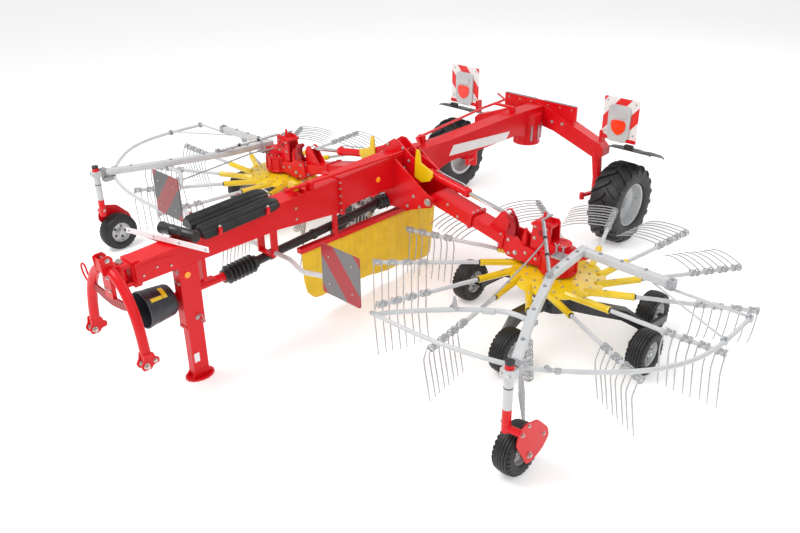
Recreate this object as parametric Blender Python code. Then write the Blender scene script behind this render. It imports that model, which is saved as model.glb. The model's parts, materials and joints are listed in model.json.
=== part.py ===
"""Twin rotor hay rake: a trailed twin-rotor centre-swath machine, parked on its jack and wheels.

Metres, +Z up, front towards -Y, the machine's left-hand side towards +X. The origin lies on the
ground under the middle of the machine. Paired sub-parts are modelled on the left and mirrored.
"""
import math

import bmesh
import bpy
from mathutils import Matrix, Vector

# ---- clearances -------------------------------------------------------------------------------
SEAT = 0.0003            # between pieces that rest against each other
PIN_PLAY = 0.0005        # round a pin or rod that turns or slides
WALL = 0.008             # steel box wall

# ---- rotors -----------------------------------------------------------------------------------
ROTOR_X = 1.905          # rotor axis from the middle of the machine
ROTOR_Y = 0.292
ARM_Z = 0.643            # height of the tine arms
ARM_COUNT = 13
ARM_TIP_RADIUS = 1.638
ARM_OFFSET = 0.25        # how far an arm's line passes from the rotor axis
FIRST_ARM_DEG = 186.3    # bearing of the first arm's tip on the left rotor
RAISED_ARMS = (8, 9, 10, 11, 12)   # arms that the cam has tilted up at the back
ARM_R = 0.017
SOCKET_R = 0.030
SOCKET_START, SOCKET_END = 0.34, 0.705      # distances of the socket's ends from the rotor axis
DISC_R = 0.41
DISC_Z = (0.600, 0.665)
SPINDLE_R = 0.055
TINE_RADII = (1.21, 1.345, 1.48, 1.615)     # where the four coils sit on an arm
TINE_PAIR = 0.036        # half the distance between a coil's two tines
TINE_R = 0.0065
TINE_DROP = 0.49
TINE_KINK = (0.035, -0.12)                  # the bend of a hanging tine: forwards, down

# ---- small wheels (16 x 6.50-8) and rear wheels -----------------------------------------------
SMALL_R, SMALL_W = 0.203, 0.165
SMALL_HUB_FACE = 0.0625          # from a small wheel's middle to the face of its hub
REAR_R, REAR_W = 0.450, 0.350
REAR_STEPS = 24          # facets round the rear tyre and its rim
RIM_R, RIM_W = 0.240, 0.290
REAR_X, REAR_Y = 1.210, 2.570
KINGPIN_X = 0.890
LEG_BOTTOM_Z = 0.600
HUB_INNER_X = 1.100      # inner face of the rear rim's hub

# ---- rotor undercarriage, offsets from the rotor axis (x outwards) ----------------------------
FRONT_WHEEL = (0.03, -0.71)
OUTER_WHEELS = ((0.872, 0.054), (0.595, 0.700))
INNER_WHEELS = ((-1.020, 0.060), (-0.595, 0.700))
CHASSIS_Z = 0.40
AXLE_STUB_R = 0.020

# ---- frame ------------------------------------------------------------------------------------
BEAM_HALF = 0.100
FRONT_END_Y, FLANGE_Y = -2.700, -0.600
FRONT_END_Z = (1.064, 1.234)
FLANGE_Z = (0.997, 1.328)
CENTRE_END_Y = 0.620
REAR_END_Y = 2.600
AXLE_Y = (2.600, 2.745)
RISE_Y = -1.327          # where the front beam's underside starts to drop

# ---- headstock and jack -----------------------------------------------------------------------
PIVOT_Y = -2.770
PIVOT_PIN_R = 0.0275
ARCH_Y = -2.870
ARCH_R = 0.040
HITCH_X, HITCH_Z = 0.389, 0.573
LUG_Z = ((1.045, 1.080), (1.200, 1.235))
JACK_X, JACK_Y = 0.050, -2.250
JACK_LEG = (0.040, 0.072)       # half sizes across and along
JACK_SLEEVE_BOTTOM = 0.500
JACK_LEG_TOP = 0.620

# ---- drive line -------------------------------------------------------------------------------
DRIVE_X = -0.050
DRIVE_PATH = ((-2.370, 0.750), (-1.840, 0.750), (-0.350, 0.835), (0.020, 0.868), (0.385, 0.845),
              (0.420, 0.845))
INPUT_R, BELLOWS_R, SHAFT_R, REAR_BELLOWS_R = 0.036, 0.066, 0.043, 0.072
STUB_R, STUB_END_Y = 0.0175, -2.480     # the splined stub inside the guard cup
GUARD_CUP_R = (0.160, 0.130)    # open front end, closed rear end
GUARD_CUP_Y = (-2.630, -2.370)
GUARD_CUP_WALL = 0.006
GEARBOX_TOP = 0.895
ROD_PASS = (0.105, 1.380)       # where the steering rod goes through the tower plates

# ---- booms ------------------------------------------------------------------------------------
BOOM_PIVOT = (0.550, 1.010)     # x, z
BOOM_SLOPE = math.radians(12.2)
BOOM_HALF = (0.100, 0.0615)     # half width in y, half height
BOOM_LENGTH = 0.460
BOOM_PIN_R = 0.025
EXT_HALF = (0.088, 0.0500)
EXT_START, EXT_END = 0.170, 0.830
BARREL_PIN = (0.400, 1.215)
ROD_PIN = (1.335, 1.060)
BARREL_R, ROD_R = 0.041, 0.020
BARREL_LENGTH = 0.500
TOWER_GAP = 0.048               # half the gap between the two tower plates
PLATE = 0.020                   # thickness of the frame's heavy plates
FIN_Y = (0.100, 0.464)          # front faces of the fins that carry the boom pins

# ---- guards, curtain, panels ------------------------------------------------------------------
HOOP_Z = 0.850
HOOP_PATH = ((1.430, -1.534), (1.750, -1.533), (2.090, -1.510), (2.420, -1.450), (2.730, -1.345),
             (3.030, -1.140),
             (3.280, -0.900), (3.420, -0.710), (3.510, -0.520), (3.560, -0.300), (3.577, 0.000),
             (3.570, 0.360))
LEADER_END = (2.715, -1.440, 0.915)
OUTRIGGER_END = (2.970, 0.265, 0.9440)
HOOP_TUBE_R = 0.018
CURTAIN_TOP = 0.700
CURTAIN_HALF = 0.006
RAIL_TOP = 0.750
PANEL = 0.423
FRONT_PANEL = (1.194, -1.611, 1.114)
REAR_PANEL = (1.084, 2.602, 1.381)
SENSE_X, SENSE_Y = 2.742, -1.401
POST_Y = -1.540
POST_R = 0.034
POST_PLATE_Y = -1.495           # face of the guard frame that the post is clamped to


# ---- shape helpers ----------------------------------------------------------------------------
def new_object(name, mesh):
    item = bpy.data.objects.new(name, mesh)
    bpy.context.collection.objects.link(item)
    return item


def closed_solid(verts, faces, name="piece"):
    """One closed mesh object with its faces pointing out."""
    mesh = bpy.data.meshes.new(name)
    mesh.from_pydata([tuple(v) for v in verts], [], faces)
    bm = bmesh.new()
    bm.from_mesh(mesh)
    bmesh.ops.recalc_face_normals(bm, faces=bm.faces)
    bm.to_mesh(mesh)
    bm.free()
    return new_object(name, mesh)


def loft(rings, wrap=False):
    """Skin over rings of points; the ends are capped unless the last ring joins the first."""
    count = len(rings[0])
    verts = [point for ring in rings for point in ring]
    faces = []
    for i in range(len(rings) if wrap else len(rings) - 1):
        a, b = i * count, ((i + 1) % len(rings)) * count
        for j in range(count):
            k = (j + 1) % count
            faces.append((a + j, a + k, b + k, b + j))
    if not wrap:
        last = (len(rings) - 1) * count
        faces.append(tuple(range(count))[::-1])
        faces.append(tuple(last + j for j in range(count)))
    return closed_solid(verts, faces)


def prism(outline, axis, low, high):
    """An outline extruded along X (points are y, z), Y (x, z) or Z (x, y)."""
    def place(a, b, c):
        return {"X": (c, a, b), "Y": (a, c, b), "Z": (a, b, c)}[axis]
    return loft([[place(a, b, end) for a, b in outline] for end in (low, high)])


def box(low, high):
    return prism([(low[0], low[1]), (high[0], low[1]), (high[0], high[1]), (low[0], high[1])],
                 "Z", low[2], high[2])


def round_section(radius, sides, turn=0.5):
    angles = [2 * math.pi * (i + turn) / sides for i in range(sides)]
    return [(radius * math.cos(a), radius * math.sin(a)) for a in angles]


def flat_section(half_width, half_height):
    return [(half_width, half_height), (-half_width, half_height),
            (-half_width, -half_height), (half_width, -half_height)]


def sweep(path, sections):
    """Carry a section (sideways, up) along a path; `sections` is one section or one per point."""
    points = [Vector(p) for p in path]
    if not isinstance(sections[0][0], (tuple, list)):
        sections = [sections] * len(points)
    rings = []
    for i, point in enumerate(points):
        before = (point - points[i - 1]).normalized() if i else None
        after = (points[i + 1] - point).normalized() if i + 1 < len(points) else None
        ahead = ((before or after) + (after or before)).normalized()
        level = Vector((0, 0, 1)) if abs(ahead.z) < 0.9 else Vector((0, 1, 0))
        side = ahead.cross(level).normalized()
        up = side.cross(ahead)
        # a bend is mitred: the section stretches in the plane of the bend
        stretch = 1.0 / max(0.5, ahead.dot(after or before))
        bend = (after - before) if before and after else Vector()
        bend = bend.normalized() if bend.length > 1e-6 else None
        ring = []
        for a, b in sections[i]:
            offset = side * a + up * b
            if bend:
                offset += bend * (offset.dot(bend) * (stretch - 1.0))
            ring.append(tuple(point + offset))
        rings.append(ring)
    return loft(rings)


def tube(path, radius, sides=8):
    return sweep(path, round_section(radius, sides))


def bar(start, end, half_width, half_height):
    return sweep([start, end], flat_section(half_width, half_height))


def spin(profile, centre, axis, steps=16):
    """Turn a closed profile (radius, along) about an axis; a profile may end on the axis."""
    rings = []
    for i in range(steps):
        turn = 2 * math.pi * i / steps
        ring = []
        for radius, along in profile:
            a, b = radius * math.cos(turn), radius * math.sin(turn)
            ring.append({"X": (along, a, b), "Y": (a, along, b), "Z": (a, b, along)}[axis])
        rings.append([tuple(Vector(p) + Vector(centre)) for p in ring])
    solid = loft(rings, wrap=True)
    bm = bmesh.new()
    bm.from_mesh(solid.data)
    bmesh.ops.remove_doubles(bm, verts=bm.verts, dist=1e-5)
    bmesh.ops.dissolve_degenerate(bm, dist=1e-6, edges=bm.edges)
    bmesh.ops.recalc_face_normals(bm, faces=bm.faces)
    bm.to_mesh(solid.data)
    bm.free()
    return solid


def cylinder(centre, axis, radius, low, high, steps=16):
    """A round bar; low and high are measured along the axis from the centre."""
    ends = []
    for along in (low, high):
        ring = []
        for a, b in round_section(radius, steps, 0.0):
            offset = {"X": (along, a, b), "Y": (a, along, b), "Z": (a, b, along)}[axis]
            ring.append(tuple(Vector(centre) + Vector(offset)))
        ends.append(ring)
    return loft(ends)


def arc(radius, start_deg, end_deg, steps, centre=(0.0, 0.0)):
    angles = [math.radians(start_deg + (end_deg - start_deg) * i / steps) for i in range(steps + 1)]
    return [(centre[0] + radius * math.cos(a), centre[1] + radius * math.sin(a)) for a in angles]


def joined(pieces):
    """Several solids that don't touch, as one mesh to use in a union."""
    merged = bmesh.new()
    for piece in pieces:
        merged.from_mesh(piece.data)
        bpy.data.objects.remove(piece, do_unlink=True)
    mesh = bpy.data.meshes.new("joined")
    merged.to_mesh(mesh)
    merged.free()
    return new_object("joined", mesh)


def fuse(name, skin, pieces, holes=(), origin=(0, 0, 0)):
    """Weld pieces into one named solid, cut its holes and put its origin on its joint."""
    base = pieces[0]
    steps = [(piece, "UNION") for piece in pieces[1:]] + [(hole, "DIFFERENCE") for hole in holes]
    for other, operation in steps:
        other.hide_render = True
        other.display_type = "WIRE"
        cut = base.modifiers.new(operation.title(), "BOOLEAN")
        cut.operation = operation
        cut.solver = "EXACT"
        cut.object = other
    bpy.context.view_layer.update()
    result = base.evaluated_get(bpy.context.evaluated_depsgraph_get())
    mesh = bpy.data.meshes.new_from_object(result)
    for item in list(pieces) + list(holes):
        bpy.data.objects.remove(item, do_unlink=True)
    mesh.materials.clear()
    mesh.materials.append(skin)
    mesh.transform(Matrix.Translation(-Vector(origin)))
    mesh.shade_smooth()
    mesh.set_sharp_from_angle(angle=math.radians(35))
    item = new_object(name, mesh)
    item.location = origin
    return item


def mirrored(item, name):
    """The right-hand twin of a left-hand sub-part."""
    mesh = item.data.copy()
    mesh.transform(Matrix.Scale(-1, 4, (1, 0, 0)))
    mesh.flip_normals()
    twin = new_object(name, mesh)
    twin.location = (-item.location.x, item.location.y, item.location.z)
    return twin


def material(name, colour, roughness, metallic=0.0):
    skin = bpy.data.materials.new(name)
    skin.use_nodes = True
    shader = skin.node_tree.nodes["Principled BSDF"]
    shader.inputs["Base Color"].default_value = (*colour, 1.0)
    shader.inputs["Roughness"].default_value = roughness
    shader.inputs["Metallic"].default_value = metallic
    return skin


# ---- places worked out from the sizes above ---------------------------------------------------
def blend(low, high, share):
    return low + (high - low) * share


def front_beam_top(y):
    return blend(FRONT_END_Z[1], FLANGE_Z[1], (y - FRONT_END_Y) / (FLANGE_Y - FRONT_END_Y))


def boom_at(along, up):
    """x and z of a point given along the boom from its pin and square to it."""
    c, s = math.cos(BOOM_SLOPE), math.sin(BOOM_SLOPE)
    return (BOOM_PIVOT[0] + along * c + up * s, BOOM_PIVOT[1] - along * s + up * c)


def boom_block(start, end, half_width, half_height, low=None):
    """A box in line with the boom."""
    bottom = -half_height if low is None else low
    corners = [(start, bottom), (end, bottom), (end, half_height), (start, half_height)]
    return prism([boom_at(*corner) for corner in corners], "Y",
                 ROTOR_Y - half_width, ROTOR_Y + half_width)


def rotor_point(x, y, z):
    return (ROTOR_X + x, ROTOR_Y + y, z)


def drive_height(y):
    for (y0, z0), (y1, z1) in zip(DRIVE_PATH, DRIVE_PATH[1:]):
        if y <= y1:
            return blend(z0, z1, (y - y0) / (y1 - y0))
    return DRIVE_PATH[-1][1]


# ---- main frame -------------------------------------------------------------------------------
def front_beam(skin):
    sides = [(FRONT_END_Y, FRONT_END_Z[0]), (RISE_Y, FRONT_END_Z[0]), (FLANGE_Y, FLANGE_Z[0]),
             (FLANGE_Y, FLANGE_Z[1]), (FRONT_END_Y, FRONT_END_Z[1])]
    beam = prism(sides, "X", -BEAM_HALF, BEAM_HALF)
    flange = box((-0.13, FLANGE_Y - 0.018, FLANGE_Z[0] - 0.012),
                 (0.13, FLANGE_Y, FLANGE_Z[1] + 0.012))
    lugs = []
    for low, high in LUG_Z:
        outline = [(-0.075, FRONT_END_Y + 0.06), (-0.055, PIVOT_Y - 0.02), (-0.03, PIVOT_Y - 0.05),
                   (0.03, PIVOT_Y - 0.05), (0.055, PIVOT_Y - 0.02), (0.075, FRONT_END_Y + 0.06)]
        lugs.append(prism(outline, "Z", low, high))
    cheeks = box((-0.085, FRONT_END_Y - 0.012, LUG_Z[0][0] - 0.01),
                 (0.085, FRONT_END_Y + 0.05, LUG_Z[1][1] + 0.012))
    hanger_y = (-1.425, -1.355)
    seat_z = drive_height(hanger_y[1]) + SHAFT_R + 0.005
    hangers = [box((side * 0.094 - 0.008, hanger_y[0], seat_z), (side * 0.094 + 0.008, hanger_y[1], 1.10))
               for side in (-1, 1)]
    saddle = box((-0.100, hanger_y[0] + 0.004, seat_z - 0.001),
                 (0.100, hanger_y[1] - 0.004, seat_z + 0.014))
    input_y = (-2.06, -2.02)
    bearing = box((DRIVE_X - 0.035, input_y[0], DRIVE_PATH[0][1] + INPUT_R + SEAT),
                  (DRIVE_X + 0.035, input_y[1], FRONT_END_Z[0] + 0.01))
    bore = PIVOT_PIN_R / math.cos(math.pi / 16) + PIN_PLAY      # the flats of the bore clear the pin's edges
    hole = cylinder((0, PIVOT_Y, 0), "Z", bore, LUG_Z[0][0] - 0.02, LUG_Z[1][1] + 0.02)
    return fuse("front_beam", skin, [beam, flange, cheeks] + lugs + hangers + [saddle, bearing], [hole])


def centre_frame(skin):
    front = FLANGE_Y + SEAT
    arch = [(0.30 - 0.36 * (1 - math.cos(math.radians(a))), 0.90 + 0.15 * math.sin(math.radians(a)))
            for a in range(0, 91, 15)]
    sides = [(front, FLANGE_Z[0]), (front, FLANGE_Z[1]), (0.044, 1.355), (CENTRE_END_Y, 1.325),
             (CENTRE_END_Y, 0.80), (0.30, 0.80)] + arch + [(-0.49, 1.035)]
    spine = prism(sides, "X", -BEAM_HALF, BEAM_HALF)
    flange = box((-0.13, front, FLANGE_Z[0] - 0.012), (0.13, front + 0.018, FLANGE_Z[1] + 0.012))
    pivot_x, pivot_z = BOOM_PIVOT
    half = [(0.0, 1.350), (0.09, 1.350), (pivot_x - 0.04, pivot_z + 0.075),
            (pivot_x + 0.03, pivot_z + 0.05),
            (pivot_x + 0.05, pivot_z), (pivot_x + 0.03, pivot_z - 0.05), (pivot_x - 0.03, pivot_z - 0.07),
            (0.30, 0.86), (0.0, 0.83)]
    outline = half + [(-x, z) for x, z in half[::-1] if x > 0]
    fins = [prism(outline, "Y", y, y + PLATE) for y in FIN_Y]
    pin_x, pin_z = BARREL_PIN
    half = [(0.0, 1.475), (0.03, 1.475), (0.20, 1.360), (pin_x + 0.02, pin_z + 0.055),
            (pin_x + 0.055, pin_z + 0.02),
            (pin_x + 0.05, pin_z - 0.03), (pin_x, pin_z - 0.06), (0.22, 1.04), (0.0, 1.00)]
    outline = half + [(-x, z) for x, z in half[::-1] if x > 0]
    gap = TOWER_GAP
    towers = [prism(outline, "Y", ROTOR_Y + offset, ROTOR_Y + offset + 0.016) for offset in (-gap - 0.016,
                                                                                             gap)]
    floor = box((-0.36, FIN_Y[0] + 0.005, 0.90), (0.36, FIN_Y[1] + PLATE - 0.005, 0.925))
    holes = [cylinder((side * pivot_x, 0, pivot_z), "Y", BOOM_PIN_R + PIN_PLAY, 0.0, 0.60) for side in (-1,
                                                                                                        1)]
    holes += [cylinder((side * pin_x, ROTOR_Y, pin_z), "Y", ROD_R + PIN_PLAY, -0.1, 0.1) for side in (-1,
                                                                                                      1)]
    tunnel = [(DRIVE_X, y, drive_height(y)) for y in (0.0, 0.20, DRIVE_PATH[-1][0] + 0.004)]
    holes.append(tube(tunnel, REAR_BELLOWS_R + 0.02, 12))
    holes.append(box((DRIVE_X - 0.12, DRIVE_PATH[-1][0] - 0.006, 0.70),
                     (DRIVE_X + 0.24, CENTRE_END_Y + 0.05, GEARBOX_TOP + SEAT)))
    holes.append(cylinder((ROD_PASS[0], 0, ROD_PASS[1]), "Y", 0.022, 0.20, 0.38, 12))
    return fuse("centre_frame", skin, [spine, flange] + fins + towers + [floor], holes)


def rear_beam(skin):
    start = CENTRE_END_Y + SEAT
    sides = [(start, 0.985), (start, 1.325), (0.95, 1.315), (2.20, 1.335), (REAR_END_Y - SEAT, 1.325),
             (REAR_END_Y - SEAT, 0.960), (2.32, 1.000), (2.144, 1.082), (0.95, 1.080), (0.80, 1.045)]
    beam = prism(sides, "X", -0.090, 0.090)
    pocket = cylinder((0.0, REAR_END_Y - 0.17, 0.0), "Z", 0.155, 0.915, 1.27, 16)
    return fuse("rear_beam", skin, [beam, pocket])


def axle_beam(skin):
    half = [(0.0, 1.340), (0.18, 1.290), (0.77, 1.062), (0.86, 1.035), (0.915, 0.985), (0.915, 0.905),
            (0.870, 0.865), (0.77, 0.872), (0.25, 1.055), (0.0, 1.100)]
    outline = half + [(-x, z) for x, z in half[::-1] if x > 0]
    cross = prism(outline, "Y", *AXLE_Y)
    legs = []
    for side in (-1, 1):
        path = [(side * 0.800, REAR_Y + 0.090, 0.96), (side * 0.845, REAR_Y + 0.05, 0.80),
                (side * KINGPIN_X, REAR_Y, 0.66), (side * KINGPIN_X, REAR_Y, LEG_BOTTOM_Z)]
        legs.append(sweep(path, [round_section(r, 10) for r in (0.062, 0.056, 0.048, 0.048)]))
    rail = box((-0.50, AXLE_Y[0] + 0.05, 1.19), (0.50, AXLE_Y[0] + 0.075, 1.365))
    return fuse("axle_beam", skin, [cross] + legs + [rail])


# ---- headstock, jack, drive line --------------------------------------------------------------
def headstock(skin):
    half = [(0.372, 0.645), (0.350, 0.83), (0.305, 0.98), (0.215, 1.125), (0.110, 1.21)]
    path = [(-x, ARCH_Y, z) for x, z in half] + [(0, ARCH_Y, 1.235)] + [(x, ARCH_Y, z) for x,
                                                                        z in half[::-1]]
    arch = tube(path, ARCH_R, 10)
    pieces = [arch]
    for side in (-1, 1):
        for offset in (-0.034, 0.034):
            x = side * HITCH_X + offset
            outline = [(ARCH_Y - 0.045, 0.67), (ARCH_Y + 0.045, 0.67), (ARCH_Y + 0.085, 0.60),
                       (ARCH_Y + 0.07, 0.555), (ARCH_Y + 0.02, 0.56), (ARCH_Y + 0.0, HITCH_Z - 0.045),
                       (ARCH_Y - 0.06, HITCH_Z - 0.035), (ARCH_Y - 0.075, 0.61)]
            pieces.append(prism(outline, "X", x - 0.009, x + 0.009))
        pieces.append(box((side * HITCH_X - 0.036, ARCH_Y - 0.04, 0.615),
                          (side * HITCH_X + 0.036, ARCH_Y + 0.04, 0.675)))
        pieces.append(cylinder((side * HITCH_X, ARCH_Y - 0.03, HITCH_Z), "X", 0.014, -0.075, 0.075, 12))
    low = [(-0.300, 0.985), (-0.200, 0.935), (0.0, 0.915), (0.200, 0.935), (0.300, 0.985)]
    high = [(0.275, 1.045), (0.18, 1.005), (0.0, 0.990), (-0.18, 1.005), (-0.275, 1.045)]
    pieces.append(prism(low + high, "Y", ARCH_Y - 0.014, ARCH_Y + 0.008))
    hub_z = (LUG_Z[0][1] + 0.005, LUG_Z[1][0] - 0.005)
    pieces.append(box((-0.045, ARCH_Y - 0.01, hub_z[0]), (0.045, PIVOT_Y, hub_z[1])))
    pieces.append(box((-0.062, ARCH_Y - 0.022, 0.98), (0.062, ARCH_Y + 0.016, 1.245)))
    pieces.append(cylinder((0, PIVOT_Y, 0), "Z", 0.046, hub_z[0] + 0.001, hub_z[1] - 0.001, 14))
    pieces.append(cylinder((0, PIVOT_Y, 0), "Z", PIVOT_PIN_R, LUG_Z[0][0] - 0.012, LUG_Z[1][1] + 0.02, 16))
    for side in (-1, 1):
        outline = [(ARCH_Y - 0.06, 1.20), (ARCH_Y + 0.025, 1.20), (ARCH_Y + 0.035, 1.32),
                   (ARCH_Y + 0.01, 1.365), (ARCH_Y - 0.05, 1.365), (ARCH_Y - 0.075, 1.31)]
        pieces.append(prism(outline, "X", side * 0.048 - 0.007, side * 0.048 + 0.007))
    return fuse("headstock", skin, pieces, origin=(0, PIVOT_Y, FRONT_END_Z[0]))


def jack_sleeve(skin):
    half_x, half_y = JACK_LEG[0] + 0.004 + 0.006, JACK_LEG[1] + 0.012 + 0.006
    top = FRONT_END_Z[0] - SEAT
    outer = box((JACK_X - half_x, JACK_Y - half_y, JACK_SLEEVE_BOTTOM),
                (JACK_X + half_x, JACK_Y + half_y, top))
    bore = box((JACK_X - half_x + 0.006, JACK_Y - half_y + 0.006, JACK_SLEEVE_BOTTOM - 0.1),
               (JACK_X + half_x - 0.006, JACK_Y + half_y - 0.006, top - 0.012))
    return fuse("jack_sleeve", skin, [outer], [bore])


def jack_leg(skin):
    half_x, half_y = JACK_LEG
    leg = box((JACK_X - half_x, JACK_Y - half_y, 0.006), (JACK_X + half_x, JACK_Y + half_y,
                                                          JACK_LEG_TOP - 0.002))
    guide_x, guide_y = half_x + 0.004 - SEAT, half_y + 0.012 - SEAT
    guide = box((JACK_X - guide_x, JACK_Y - guide_y, JACK_LEG_TOP - 0.045),
                (JACK_X + guide_x, JACK_Y + guide_y, JACK_LEG_TOP))
    foot = [(x * 0.95, y * 1.25) for x, y in round_section(0.105, 16)]
    plate = prism([(JACK_X + x, JACK_Y + y) for x, y in foot], "Z", 0.0, 0.014)
    return fuse("jack_leg", skin, [leg, guide, plate], origin=(JACK_X, JACK_Y, 0))


def drive_shaft(skin):
    def at(y):
        return (DRIVE_X, y, drive_height(y))
    inlet = tube([at(GUARD_CUP_Y[1] + SEAT), at(-1.84)], INPUT_R, 12)
    shaft = tube([at(y) for y in (-1.86, -1.84, -0.35, 0.02, 0.385, DRIVE_PATH[-1][0])], SHAFT_R, 10)
    stub = cylinder((DRIVE_X, 0, DRIVE_PATH[0][1]), "Y", STUB_R, STUB_END_Y, GUARD_CUP_Y[1] + 0.02, 12)
    pieces = [inlet, shaft, stub]
    for start, end, radius in ((-1.82, -1.51, BELLOWS_R), (0.0, 0.40, REAR_BELLOWS_R)):
        steps = 5
        path, sections = [], []
        for i in range(steps + 1):
            y = blend(start, end, i / steps)
            path.append(at(y))
            sections.append(round_section(radius - (0.008 if i in (0, steps) else 0.0), 12))
        pieces.append(sweep(path, sections))
    return fuse("drive_shaft", skin, pieces)


def pto_guard(skin):
    front, rear = GUARD_CUP_Y
    wide, narrow = GUARD_CUP_R
    wall = GUARD_CUP_WALL
    profile = [(wide, front), (narrow, rear - 0.015), (narrow - 0.012, rear), (STUB_R + 0.003, rear),
               (STUB_R + 0.003, rear - wall), (narrow - wall - 0.012, rear - wall),
               (narrow - wall, rear - 0.02),
               (wide - wall, front)]
    return fuse("pto_guard", skin, [spin(profile, (DRIVE_X, 0, DRIVE_PATH[0][1]), "Y", 20)])


def centre_gearbox(skin):
    y = DRIVE_PATH[-1][0] + SEAT
    z = DRIVE_PATH[-1][1]
    case = box((DRIVE_X - 0.09, y, z - 0.085), (DRIVE_X + 0.14, y + 0.17, GEARBOX_TOP))
    outputs = cylinder((0, y + 0.085, z - 0.03), "X", 0.045, DRIVE_X - 0.112, DRIVE_X + 0.180, 12)
    return fuse("centre_gearbox", skin, [case, outputs])


# ---- swath curtain and fittings on the front beam ----------------------------------------------
def curtain_rail(skin):
    rail = box((-0.030, -1.050, CURTAIN_TOP + SEAT), (0.030, 0.450, RAIL_TOP))
    front = box((0.015, FLANGE_Y - 0.05, RAIL_TOP - 0.005), (0.045, FLANGE_Y - 0.005,
                                                             FLANGE_Z[0] - 0.012 - SEAT))
    rear = box((0.045, 0.310, RAIL_TOP - 0.030), (0.085, 0.395, 0.80 - SEAT))
    foot = box((0.010, 0.315, RAIL_TOP - 0.029), (0.060, 0.390, RAIL_TOP - 0.002))
    return fuse("curtain_rail", skin, [rail, front, rear, foot])


def swath_curtain(skin):
    outline = [(-1.03, CURTAIN_TOP), (-1.02, 0.42), (-0.985, 0.27), (-0.912, 0.195), (-0.80, 0.165),
               (-0.30, 0.150),
               (0.35, 0.09), (0.70, 0.045), (0.76, 0.09), (0.815, 0.58), (0.78, CURTAIN_TOP)]
    return fuse("swath_curtain", skin, [prism(outline, "X", -CURTAIN_HALF, CURTAIN_HALF)])


def reflector_bar(skin):
    mid_y, turn = -2.345, math.radians(16)
    top = front_beam_top(mid_y + 0.06) + SEAT
    reach = 0.42
    across = (reach * math.cos(turn), reach * math.sin(turn))
    z = top + 0.030
    board = bar((-across[0], mid_y - across[1], z), (across[0], mid_y + across[1], z), 0.011, 0.030)
    foot = prism([(mid_y - 0.07, front_beam_top(mid_y - 0.07) + SEAT), (mid_y + 0.06, top),
                  (mid_y + 0.06, top + 0.02),
                  (mid_y - 0.07, top + 0.02)], "X", -0.085, 0.085)
    return fuse("reflector_bar", skin, [board, foot])


def tine_guard_stack(skin):
    y0, y1 = -2.120, -1.280
    def stack(x, z, half_width, height):
        outline = [(x - half_width, z), (x + half_width * 0.8, z), (x + half_width, z + 0.05),
                   (x + half_width * 0.75, z + height), (x - half_width, z + height - 0.015)]
        return prism(outline, "Y", y0, y1)
    near = stack(0.100, front_beam_top(y1) + 0.012, 0.100, 0.125)
    far = stack(-0.200, front_beam_top(y1) + 0.040, 0.100, 0.110)
    feet = []
    for y in (y0 + 0.10, y1 - 0.14):
        base = [(y, front_beam_top(y) + SEAT), (y + 0.05, front_beam_top(y + 0.05) + SEAT),
                (y + 0.05, 1.36), (y, 1.36)]
        feet.append(prism(base, "X", -0.085, 0.060))
    ties = [box((-0.18, y, 1.335), (0.07, y + 0.05, 1.375)) for y in (y0 + 0.11, y1 - 0.13)]
    return fuse("tine_guard_stack", skin, [near, far] + feet + ties)


def tool_tube(skin):
    radius, half, turn = 0.050, 0.195, math.radians(13)
    mid = Vector((-0.02, -2.225, front_beam_top(-2.22) + radius + 0.0015))
    reach = Vector((math.cos(turn), math.sin(turn), 0)) * half
    return fuse("tool_tube", skin, [tube([mid - reach, mid + reach], radius, 14)])


def steering_rod(skin):
    """The push rods that carry the headstock's angle back along the frame, with their brackets."""
    x, z = ROD_PASS
    front = tube([(0.045, -1.20, 1.365), (x, 0.05, z), (x, 0.46, z), (-0.06, 0.60, 1.385),
                  (-0.24, 1.90, 1.385), (-0.24, 2.30, 1.395), (-0.60, 2.64, 1.330)], 0.014, 8)
    posts = []
    for x, y, base, top in ((0.06, -0.95, front_beam_top(-0.905), 1.385), (-0.066, 0.66, 1.3238, 1.395)):
        posts.append(box((x - 0.035, y, base + SEAT), (x + 0.035, y + 0.045, top)))
    lever = box((-0.26, 2.10, 1.375), (0.03, 2.14, 1.397))
    stand = box((-0.03, 2.10, 1.3341 + SEAT), (0.03, 2.14, 1.396))
    return fuse("steering_rod", skin, [front] + posts + [lever, stand])


def transport_hook(skin):
    y = ROTOR_Y - TOWER_GAP - 0.016 - SEAT
    outline = [(0.270, 1.165), (0.360, 1.130), (0.460, 1.165), (0.495, 1.215), (0.495, 1.265),
               (0.410, 1.295),
               (0.345, 1.320), (0.325, 1.440), (0.290, 1.445), (0.275, 1.320)]
    return fuse("transport_hook_left", skin, [prism(outline, "Y", y - 0.016, y)])


# ---- warning panels, lights, mudguards ---------------------------------------------------------
def front_warning_panel(skin):
    x, y, z = FRONT_PANEL
    half = PANEL / 2
    board = box((x - half, y, z - half), (x + half, y + 0.012, z + half))
    path = [(0.102 + SEAT, -1.39, 0.862), (0.30, -1.39, 0.862), (0.62, -1.52, 0.915),
            (0.90, y + 0.030, 1.00),
            (1.28, y + 0.030, 1.06)]
    return fuse("front_warning_panel_left", skin, [board, tube(path, 0.021, 10)])


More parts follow.
